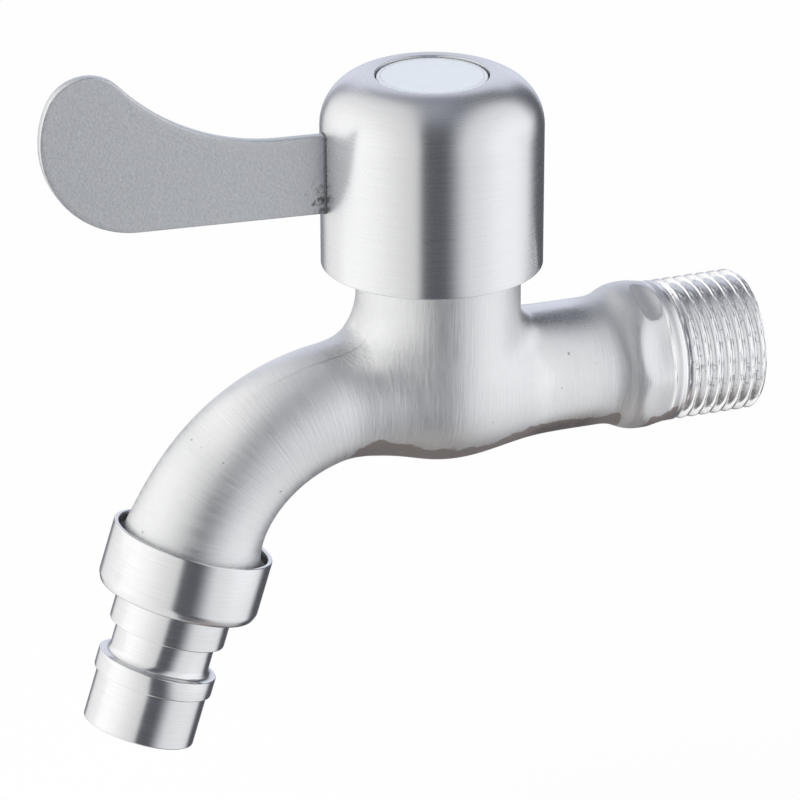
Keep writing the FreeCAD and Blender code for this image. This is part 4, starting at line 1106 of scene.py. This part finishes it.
# %% Grain of the cast steel
SATIN_DARK, SATIN_LIGHT = (0.58, 0.59, 0.6), (0.8, 0.807, 0.82)
LINES_ACROSS = 2.6
UPRIGHT_LINES = (LINES_ACROSS, LINES_ACROSS, 0.16)
LINE_LENGTH = 0.2
NECK_FROM_HEIGHT = (5, 9)
cast_steel = Finish("SatinCastSteel")
here = cast_steel.place()
x, y, z = cast_steel.split(here)
wander = cast_steel.noise(here, scale=0.7, detail=3)
specks = cast_steel.noise(here, scale=2.2, detail=4)
uneven = cast_steel.noise(here, scale=0.35)
upright = cast_steel.noise(cast_steel.place(scale=UPRIGHT_LINES), detail=4, roughness=0.7)
turned_down = (bend_start - x).most(0).slope_over(z + SPOUT_BEND)
way = x.most(bend_start) - turned_down * SPOUT_BEND
parts = {"X": way * LINES_ACROSS, "Y": y * LINE_LENGTH, "Z": z * LINE_LENGTH}
strip = cast_steel.node("ShaderNodeCombineXYZ", {}, parts)
across = cast_steel.noise(strip, detail=4, roughness=0.7)
neck_share = z.between(*NECK_FROM_HEIGHT)
brushed = upright * neck_share + across * (1 - neck_share)
print("grain:", LINES_ACROSS, "lines to the millimetre")

# %% [markdown]
# A painted underside, and what was cut after the belt. The underside is painted a dark brown-grey up
# to an uneven edge. It is a painted reflection of the dark ground below, over a rougher speckled
# skin.
# The thread and the wall behind the flats are freshly cut, and the pipe is brushed finer. Each mark
# is a mask between 0 and 1, made of ramps. A ramp is a pair: where it starts and where it is full,
# in millimetres along an axis or as a level of the noise.

# %% Painted underside and cut faces
UNDERSIDE_EDGE = [
    (-60, 60), (-18, 60), (-16.5, 9.5), (-14.5, 5.8), (-11.5, 3.9), (-7.7, 5.4), (-3, 6.7),
    (4, 7.3), (9, 6.5), (12, 5.6), (20, 5.7), (27, 6.1), (28.8, 12), (30.9, 12), (31.2, 7.6),
    (35.9, 5.6), (36.1, 60), (50, 60)]
UNDERSIDE_WANDER = 2.4
UNDERSIDE_FADE = (-0.25, 0.25)
THREAD_FROM = (35.6, 36)
CUT_WALL = (34.3, 34.5), (34.8, 34.9)
FINE_PIPE = (11, 15), (21, 26)
dark_edge = cast_steel.profile(x, UNDERSIDE_EDGE) - (uneven - 0.5) * UNDERSIDE_WANDER
# Painted reflection: below this wavy edge the underside is coloured dark.
painted_dark = (0 - z - dark_edge).between(*UNDERSIDE_FADE)
thread = x.between(*THREAD_FROM)
cut_wall = x.band(*CUT_WALL)
pipe = x.band(*FINE_PIPE)
print("edge of the raw underside: read from", len(UNDERSIDE_EDGE), "stops along the tap")

# %% [markdown]
# Small flaws. A faint parting line of the mould runs along the spout's top, a little in front of
# the middle. Scratches cross the spout's root, here and there a gas pit is left open, and the
# thread's crests have small nicks from handling. Each could be painted, but a mask of ramps and
# noise keeps its place and its sharpness at any distance.

# %% Flaws
PARTING_AT = -3.3
PARTING_WANDER = 0.8
PARTING_WIDTH = (0.03, 0.22)
PARTING_ALONG = (-29, -26), (-13, -11)
PARTING_FADE = (-31, -15)
PARTING_HIGH = (2, 3)
SCRATCH_SCALE = (3.6, 0.6, 2.4)
SCRATCH_TURN = (0, 0.5, 0.4)
SCRATCHED_X = (-22, -18), (-13, -9)
SCRATCHED_Y = (-7.5, -5.5), (-1, 1)
SCRATCHED_Z = (6, 7.5)
PITS = (0.86, 0.9)
NICKS = (0.63, 0.75)
NICKS_FROM = (36.3, 36.6)
off_parting = (y - PARTING_AT + (wander - 0.5) * PARTING_WANDER).absolute()
parting = (1 - off_parting.between(*PARTING_WIDTH)) * z.between(*PARTING_HIGH)
parting = parting * x.band(*PARTING_ALONG) * x.between(*PARTING_FADE)
patch = x.band(*SCRATCHED_X) * y.band(*SCRATCHED_Y) * z.between(*SCRATCHED_Z)
scratched = cast_steel.place(scale=SCRATCH_SCALE, turn=SCRATCH_TURN)
scratches = cast_steel.noise(scratched, detail=3, roughness=0.6) * patch
pits = cast_steel.noise(here, scale=1.5, detail=0).between(*PITS) * (1 - thread)
nicks = cast_steel.noise(here, scale=1.3).between(*NICKS) * x.between(*NICKS_FROM)
print("pits where the noise is over", PITS[0], "and nicks where it is over", NICKS[0])

# %% [markdown]
# Painted light on the spout: its upper side is painted brighter, as light from above would make it.
# The spout falls away with its bend, so its upper side is found by adding that fall back to the
# height: the square of the way past BEND_FROM, over BEND_DROP.

# %% Painted light on the spout's top
SPOUT_LIGHT_X = (-39, -33), (-9, 1)
SPOUT_LIGHT_LOW = (-3, 3)
SPOUT_LIGHT_HIGH = (6.5, 9)
BEND_FROM = -14
BEND_DROP = 50
low_spout = (x - BEND_FROM).least(0)
above_bend = z + low_spout * low_spout / BEND_DROP
# Painted light: the upper half of the spout is made brighter.
painted_spout_light = above_bend.between(*SPOUT_LIGHT_LOW) * x.band(*SPOUT_LIGHT_X) * (1 - z.between(*SPOUT_LIGHT_HIGH))
print("pressed between x =", SPOUT_LIGHT_X[0][0], "and", SPOUT_LIGHT_X[1][1], "mm")

# %% [markdown]
# The casting's colour, gloss and relief are sums of those masks. Each factor says how strongly a
# mark shows, and the relief's factors are heights in millimetres.

# %% Cast steel
FRESH_AND_LIT = (0.9, 0.905, 0.915)
REFLECTION_AND_FLAW_DARK, UNDERSIDE_SPECK_LIGHT = (0.27, 0.245, 0.24), (0.42, 0.385, 0.375)
# Brighter steel: painted light on the spout's upper side, and the freshly cut thread and wall.
fresh_and_lit_share = (painted_spout_light * 0.6 + thread * 0.7 + cut_wall * 0.8).least(1)
dark_share = (parting * 0.35 + pits * 0.6 + nicks * 0.2).least(1)
satin = cast_steel.mix(brushed * 0.8 + wander * 0.2, SATIN_DARK, SATIN_LIGHT)
satin = cast_steel.mix(fresh_and_lit_share, satin, FRESH_AND_LIT)
satin = cast_steel.mix(dark_share, satin, REFLECTION_AND_FLAW_DARK)
# Below its edge the casting is painted dark brown-grey, a painted reflection of the ground below.
cast_colour = cast_steel.mix(painted_dark, satin, cast_steel.mix(specks, REFLECTION_AND_FLAW_DARK, UNDERSIDE_SPECK_LIGHT))
satin_rough = 0.44 - 0.2 * pipe - 0.23 * thread - 0.1 * cut_wall + (brushed - 0.5) * 0.3
lines = brushed * (0.042 - 0.03 * pipe) * (1 - thread)
relief = lines * (1 - painted_dark) + specks * 0.05 * painted_dark + scratches * 0.07
relief = relief - parting * 0.025 - pits * 0.08 - nicks * 0.05
cast_steel.surface(Base_Color=cast_colour, Metallic=1.0, Roughness=satin_rough + painted_dark * 0.16,
                   Normal=cast_steel.bump(relief))
dress(casting, cast_steel)

# %% [markdown]
# Turned steel. The cap was turned and then brushed round with a fine pad, so its lines are close
# rings and its highlights stretch up and down, which the shader calls anisotropic. A picture of
# brushed steel could be wrapped round the cap, but noise over the place on it shows no seam.

# %% Brushed cap
CAP_DARK, CAP_LIGHT = (0.6, 0.608, 0.625), (0.73, 0.738, 0.755)
cap_steel = Finish("BrushedCapSteel")
rings = cap_steel.lathe_lines(spacing=0.16)
cap_steel.surface(
    Base_Color=cap_steel.mix(rings, CAP_DARK, CAP_LIGHT), Metallic=1.0,
    Roughness=0.2 + rings * 0.14, Anisotropic=0.75, Anisotropic_Rotation=0.25,
    Normal=cap_steel.bump(rings, depth=0.003))
dress(cap, cap_steel)

# %% [markdown]
# The nozzle is brighter than the cap, because it keeps the finish of the lathe tool. Inside its rim
# it is rougher, where nobody polishes it, and painted shade darkens it. It could have the cap's
# finish, but those rings run round the handle's axis. Its own rings follow its own leaning axis.

# %% Turned nozzle
NOZZLE_DARK, NOZZLE_LIGHT = (0.62, 0.628, 0.64), (0.74, 0.748, 0.76)
DULL_AND_SHADED_INSIDE = (0.3, 0.29, 0.285)
INSIDE_RADIUS = 11.4
BELOW_RIM = (-0.7, -0.1)
COLLAR_FLOOR = (-COLLAR_DEPTH - 0.1, -COLLAR_DEPTH)
bright = Finish("TurnedSteel")
leaning = (0, NOZZLE_LEAN, 0)
rings = bright.lathe_lines(spacing=0.2, turn=leaning, centre=rim_centre)
x, y, z = bright.split(bright.place(turn=leaning, centre=rim_centre))
outside = (x * x + y * y).between(INSIDE_RADIUS ** 2 - 1, INSIDE_RADIUS ** 2)
# Painted shade: inside the rim, below the lip, the colour is darkened.
inside = (1 - outside) * z.band(COLLAR_FLOOR, BELOW_RIM)
turned_colour = bright.mix(rings, NOZZLE_DARK, NOZZLE_LIGHT)
bright.surface(
    Base_Color=bright.mix(inside, turned_colour, DULL_AND_SHADED_INSIDE), Metallic=1.0,
    Roughness=0.12 + rings * 0.12 + inside * 0.3, Normal=bright.bump(rings, depth=0.002))
dress(nozzle, bright)

# %% [markdown]
# The lever's sheet is tumbled rather than brushed, which leaves it finely mottled. Next to the weld
# it is smudged with soot, mostly towards the lower corner. Painted smudges would need a map of the
# plate. A noise that fades with the distance from the cap gives them without one.

# %% Lever's sheet
SHEET_DARK, SHEET_LIGHT = (0.5, 0.515, 0.535), (0.8, 0.815, 0.835)
SOOT = (0.1, 0.1, 0.105)
SOOT_LOW = (LEVER_BOTTOM + 2, LEVER_BOTTOM + 6)
SOOT_PER_MM = 0.16
plate = Finish("PlateSteel")
here = plate.place()
x, y, z = plate.split(here)
mottle = plate.noise(here, scale=2.4, detail=4, roughness=0.65)
blotch = plate.noise(here, scale=0.9, detail=4, roughness=0.7)
off_cap = x.off_axis(y) - CAP_RADIUS
low_down = 1 - z.between(*SOOT_LOW)
soot = (blotch * 2.2 - off_cap * SOOT_PER_MM - 0.8).between(0, 0.4) * (0.1 + 0.75 * low_down)
sheet = plate.mix(mottle, SHEET_DARK, SHEET_LIGHT)
plate.surface(Base_Color=plate.mix(soot, sheet, SOOT), Metallic=1.0,
              Roughness=0.34 + mottle * 0.16, Normal=plate.bump(mottle, depth=0.03))
dress(lever, plate)

# %% [markdown]
# The weld bead itself is left as it cooled, dark and dull with scale. One dark colour would look
# painted on, so noise mixes two greys, and the same noise roughens the bead.

# %% Weld's scale
SCALE_LIGHT = (0.3, 0.3, 0.31)
scale_steel = Finish("WeldScale")
grain = scale_steel.noise(scale_steel.place(), scale=3.0, detail=3)
scale_steel.surface(Base_Color=scale_steel.mix(grain, SOOT, SCALE_LIGHT), Metallic=1.0,
                    Roughness=0.5 + grain * 0.2, Normal=scale_steel.bump(grain, depth=0.05))
dress(weld, scale_steel)

# %% [markdown]
# The index disc is pale blue-grey plastic with a soft gloss. A fine line runs round it just inside
# its edge. The line could be modelled, but it is only a third of a millimetre wide, so a mask over
# the distance from the axis colours it and sinks it a little.

# %% Index disc's plastic
DISC_DARK, DISC_LIGHT = (0.6, 0.645, 0.7), (0.66, 0.705, 0.76)
LINE_COLOUR = (0.4, 0.42, 0.46)
RING_LINE = 7.55
LINE_WIDTH = (0.03, 0.16)
pale = Finish("PaleDisc")
here = pale.place()
x, y, z = pale.split(here)
orange_peel = pale.noise(here, scale=0.8)
ring = 1 - (x.off_axis(y) - RING_LINE).absolute().between(*LINE_WIDTH)
disc_colour = pale.mix(orange_peel, DISC_DARK, DISC_LIGHT)
pale.surface(
    Base_Color=pale.mix(ring * 0.5, disc_colour, LINE_COLOUR),
    Roughness=0.3 + orange_peel * 0.1, Normal=pale.bump(orange_peel * 0.02 - ring * 0.03))
dress(disc, pale)

# %% [markdown]
# The inner pieces of the valve ride along as the frame's own solids, so they need only their
# finish. Brass parts are turned, the ceramic discs are lapped until they shine, and the rubber and
# plastic parts are moulded. Skins of their own would add nothing, because the body hides them. Each
# row gives a finish its dark and its light colour, 1 for metal, its roughness, the spacing of its
# tool marks in millimetres, with 0 for moulded parts, and its pieces.

# %% Inner pieces
INNER = {
    "TurnedBrass": (
        (0.62, 0.45, 0.19), (0.78, 0.6, 0.3), 1.0, 0.22, 0.3, ["cartridge_housing", "spindle"]),
    "PlainSteel": (
        (0.46, 0.47, 0.48), (0.6, 0.61, 0.62), 1.0, 0.3, 0.3,
        ["spindle_circlip", "handle_screw", "screw_lock_washer"]),
    "WhitePlastic": (
        (0.72, 0.72, 0.69), (0.8, 0.8, 0.77), 0.0, 0.5, 0.0,
        ["spline_bush", "seal_backing_ring", "slip_washer"]),
    "LappedCeramic": (
        (0.82, 0.8, 0.75), (0.88, 0.87, 0.83), 0.0, 0.18, 0.0,
        ["fixed_ceramic_disc", "moving_ceramic_disc"]),
    "BlackRubber": (
        (0.02, 0.02, 0.02), (0.045, 0.045, 0.045), 0.0, 0.65, 0.0,
        ["seat_seal", "housing_gasket", "spindle_oring_lower", "spindle_oring_upper",
         "nozzle_washer"]),
}
for name, (dark, pale_colour, metal, rough, spacing, members) in INNER.items():
    finish = Finish(name)
    moulded = finish.noise(finish.place(), scale=1.5, detail=4)
    grain = finish.lathe_lines(spacing) if spacing else moulded
    finish.surface(Base_Color=finish.mix(grain, dark, pale_colour), Metallic=metal,
                   Roughness=rough + grain * 0.15, Normal=finish.bump(grain, depth=0.01))
    for node in members:
        dress(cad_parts[node], finish)

# %% [markdown]
# The camera stands where the photographer stood: more than a metre away, a little above, with a
# long lens. Its place and its heading were fitted to the outlines of the photographed tap. A Track
# To constraint could aim it, but a matrix of three directions keeps the fitted heading exact.

# %% Camera
SENSOR_WIDTH = 36.0
FOCAL_LENGTH = 370.9
CAMERA_AT = (-485.47, -1037.33, 439.27)
LOOKS_ALONG = (0.3569, 0.8597, -0.3655)
camera_data = bpy.data.cameras.new("Camera")
camera = bpy.data.objects.new("Camera", camera_data)
bpy.context.scene.collection.objects.link(camera)
bpy.context.scene.camera = camera
camera_data.sensor_width = SENSOR_WIDTH
camera_data.lens = FOCAL_LENGTH
camera_place = Vector(CAMERA_AT) * MM
forward = Vector(LOOKS_ALONG).normalized()
level = forward.cross(Vector((0, 0, 1))).normalized()
aimed = Matrix((level, level.cross(forward), -forward)).transposed().to_4x4()
camera.matrix_world = Matrix.Translation(camera_place) @ aimed
print("camera at", tuple(round(part, 3) for part in camera_place), "metres")

# %% [markdown]
# The world is white to the camera and to reflections, and dimmer as a light, which leaves the tap
# its shading. Light Path tells the two apart.

# %% White world
WORLD_LIGHT = 0.55
WORLD_SEEN = 1.0
SEEN_BY = ("Camera", "Glossy", "Transmission")
scene = bpy.context.scene
scene.view_settings.view_transform = "Standard"
world = bpy.data.worlds.new("Studio")
scene.world = world
world.use_nodes = True


def seen_directly(graph):
    """1 for camera, glossy and transmission rays and 0 for the rays that carry light: the
    greatest of three outputs of Light Path."""
    rays = [graph.node("ShaderNodeLightPath", output=f"Is {word} Ray") for word in SEEN_BY]
    return rays[0].most(rays[1]).most(rays[2])


sky = Graph(world.node_tree)
background = sky.tree.nodes["Background"]
strength = WORLD_LIGHT + (WORLD_SEEN - WORLD_LIGHT) * seen_directly(sky)
sky.set(background.inputs["Strength"], strength)
sky.set(background.inputs["Color"], (1, 1, 1))
print("world lights with", WORLD_LIGHT, "of what is seen")

# %% [markdown]
# The background is white paper. Its floor is a real surface that keeps the tap's soft shadow, and
# most of what the camera sees of it is a plain white. Away from the tap it is all white, so that
# the paper runs into the white world without a line.

# %% Paper
FLOOR_HEIGHT = -0.12
FLOOR_REACH = 4
PAPER_SHARE = 0.88
ALL_WHITE = (0.25, 0.8)
floor_mesh = bpy.data.meshes.new("Floor")
corners = [(-1, -1), (1, -1), (1, 1), (-1, 1)]
floor_points = [(x * FLOOR_REACH, y * FLOOR_REACH, FLOOR_HEIGHT) for x, y in corners]
floor_mesh.from_pydata(floor_points, [], [(0, 1, 2, 3)])
floor = bpy.data.objects.new("Floor", floor_mesh)
scene.collection.objects.link(floor)
floor.visible_glossy = False
paper = Finish("Paper")
paper.surface(Base_Color=(0.9, 0.9, 0.9), Roughness=0.9)
lit = Value(paper, paper.shader.outputs[0])
white = paper.node("ShaderNodeEmission")
x, y, z = paper.split(paper.place())
far = (x.off_axis(y) * MM).between(*ALL_WHITE)
share = seen_directly(paper) * (PAPER_SHARE + (1 - PAPER_SHARE) * far)
paper.show(paper.node("ShaderNodeMixShader", {}, {0: share, 1: lit, 2: white}))
dress(floor, paper)

# %% [markdown]
# Steel has hardly a colour of its own: it shows the room. A photographer therefore stands steel in
# a tent of white cloth. The cloth is brightest at both sides, where the lamps are behind it, dim
# overhead and below, and dark where it opens in front for the camera. The tent here is a large
# sphere that only reflections see, and its light is a pattern over its own coordinates: how far
# round from the camera, and how high. A picture of a studio could stand for it, but in a pattern
# each edge of a reflection can be moved on its own.

# %% Light tent
TENT_RADIUS = 0.9
TENT_RINGS = 48
TENT_COLUMNS = 96
NEAR_POLE = 89.9


def sphere_points(radius, rings, columns):
    """Points on a sphere, ring by ring from near the lowest point to near the highest: height
    and distance from the axis are the sine and the cosine of the ring's angle."""
    height = np.radians(np.linspace(-NEAR_POLE, NEAR_POLE, rings))[:, None]
    swept = np.arange(columns) * 2 * np.pi / columns
    side, away, up = np.cos(height) * np.cos(swept), np.cos(height) * np.sin(swept), np.sin(height)
    return radius * np.stack([side, away, up + 0 * swept], axis=-1).reshape(-1, 3)


tent_mesh = bpy.data.meshes.new("LightTent")
tent_points = sphere_points(TENT_RADIUS, TENT_RINGS, TENT_COLUMNS) + crossing * MM
tent_mesh.from_pydata(tent_points.tolist(), [], grid_faces(TENT_RINGS, TENT_COLUMNS).tolist())
tent = bpy.data.objects.new("LightTent", tent_mesh)
scene.collection.objects.link(tent)
tent.visible_camera = tent.visible_diffuse = tent.visible_shadow = False
tent.visible_transmission = tent.visible_volume_scatter = False
print("tent of", len(tent_mesh.polygons), "faces")

# %% [markdown]
# The tent's map. Every place on it has two angles as seen from the camera: sideways, from -90 at
# the left to 90 at the right, and a climb that starts at 0 in front, passes 90 overhead and ends at
# 180 behind, with the same below as negative angles. Panels are lit areas with soft borders. Each
# edge and border is a row of four: its size in front, and what is added overhead, at the back and
# low down behind, which bends the reflections on cap, belly and spout as the real ones bend.

# %% Panels of the tent
CAMERA_ROUND = np.arctan2(camera_place.x - crossing[0] * MM, -camera_place.y)
OVERHEAD = (40, 75)
AT_BACK = (105, 160)
LOW_BEHIND = (115, 145)
LEFT_EDGE = (-10.5, 2, -22, 0)
LEFT_BORDER = (3, 4, 3, 0)
RIGHT_EDGE = (24, 0, 24, 7)
RIGHT_BORDER = (13, 0, 1, 0)
BACK_PANEL_WIDTH = (15, 27)
BACK_PANEL_ABOVE = (137, 149)
BACK_PANEL_BELOW = (162, 176)
BELOW_HEIGHT = (52, 75), (105, 130)
BELOW_WIDTH = (15, 45)
SHADE_WIDTH = (2, 18)
SHADE_HEIGHT = (60, 100)
cloth = Finish("TentCloth")
right, away, up = cloth.split(cloth.place(turn=(0, 0, CAMERA_ROUND)))
degrees = 180 / np.pi
sideways = (right / (TENT_RADIUS / MM)).arcsine() * degrees
climb = up.slope_over(0 - away) * degrees
sink = 0 - climb
overhead = climb.between(*OVERHEAD)
at_back = climb.absolute().between(*AT_BACK)
low_behind = sink.between(*LOW_BEHIND)


def by_region(levels):
    """A level in front, plus what is added to it overhead, at the back and low down behind."""
    total = levels[0]
    for share, added in zip((overhead, at_back, low_behind), levels[1:]):
        total = total + share * added
    return total


left_panel = ((by_region(LEFT_EDGE) - sideways) / by_region(LEFT_BORDER)).between(-1, 1)
right_panel = ((sideways - by_region(RIGHT_EDGE)) / by_region(RIGHT_BORDER)).between(-1, 1)
back_panel = climb.between(*BACK_PANEL_ABOVE) + sink.between(*BACK_PANEL_BELOW)
back_panel = back_panel * (1 - sideways.absolute().between(*BACK_PANEL_WIDTH))
below = sink.band(*BELOW_HEIGHT) * (1 - sideways.absolute().between(*BELOW_WIDTH))
shade = sideways.between(*SHADE_WIDTH) * climb.absolute().between(*SHADE_HEIGHT)
print("left panel from", LEFT_EDGE[0], "degrees, right panel from", RIGHT_EDGE[0], "degrees")

# %% [markdown]
# The tent's light. The gap between the panels is read from stops over the climb, and each panel
# from stops over the sideways angle, as a photographer would note a light meter's readings. The
# cloth of the panels is nearly white, and what is between them a little blue, or warm from below.

# %% Light of the tent
GAP_STOPS = [
    (-180, 0.36), (-120, 0.24), (-98, 0.3), (-72, 0.5), (-58, 0.2), (-48, 0.14), (40, 0.15),
    (60, 0.26), (75, 0.38), (92, 0.5), (112, 0.44), (128, 0.36), (180, 0.36)]
LEFT_STOPS = [(0, 0.8), (31, 1.05), (53, 1.3), (75, 1.45), (90, 1.4)]
RIGHT_STOPS = [(0, 0.9), (36, 0.98), (50, 1.08), (58, 1.2), (68, 1.3), (90, 1.3)]
BACK_PANEL_LEVEL = 1.05
SHADE = 0.55
LOW_BEHIND_SHADE = 0.13
BLUISH, WARM = (0.86, 0.89, 1.0), (1.0, 0.9, 0.85)
LEFT_WHITE, RIGHT_WHITE = (1.0, 0.99, 0.975), (0.985, 0.99, 1.0)


def between_levels(share, first, second):
    """A level between two: the first plus a share of what the second has more."""
    return first + (second - first) * share


light = cloth.profile(climb, GAP_STOPS) * (1 - SHADE * shade)
light = between_levels(back_panel, light, BACK_PANEL_LEVEL)
light = between_levels(left_panel, light, cloth.profile(0 - sideways, LEFT_STOPS))
light = between_levels(right_panel, light, cloth.profile(sideways, RIGHT_STOPS))
light = light * (1 - LOW_BEHIND_SHADE * low_behind)
cloth_colour = cloth.mix(below, BLUISH, WARM)
cloth_colour = cloth.mix(left_panel, cloth_colour, LEFT_WHITE)
cloth_colour = cloth.mix(right_panel, cloth_colour, RIGHT_WHITE)
cloth.show(cloth.node("ShaderNodeEmission", {}, {"Color": cloth_colour, "Strength": light}))
cloth.tree.nodes.remove(cloth.shader)
cloth.material.cycles.emission_sampling = "NONE"
dress(tent, cloth)

# %% [markdown]
# Two large lamps light what isn't metal, such as the index disc and the paper. The tent could do
# that as well, but then each change to the steel's reflections would change the paper too. Places
# are in metres and powers in watts.

# %% Lamps
LAMP_SIZE = 1.2
LAMPS = {"KeyLamp": ((-1.1, -0.9, 1.6), 26), "FillLamp": ((1.3, -0.7, 1.0), 12)}
for name, (place, power) in LAMPS.items():
    lamp_data = bpy.data.lights.new(name, "AREA")
    lamp_data.shape = "DISK"
    lamp_data.size = LAMP_SIZE
    lamp_data.energy = power
    lamp = bpy.data.objects.new(name, lamp_data)
    scene.collection.objects.link(lamp)
    lamp.location = place
    lamp.rotation_euler = (-Vector(place)).to_track_quat("-Z", "Y").to_euler()
    lamp.visible_camera = lamp.visible_glossy = False
    print(name, "of", power, "watts")
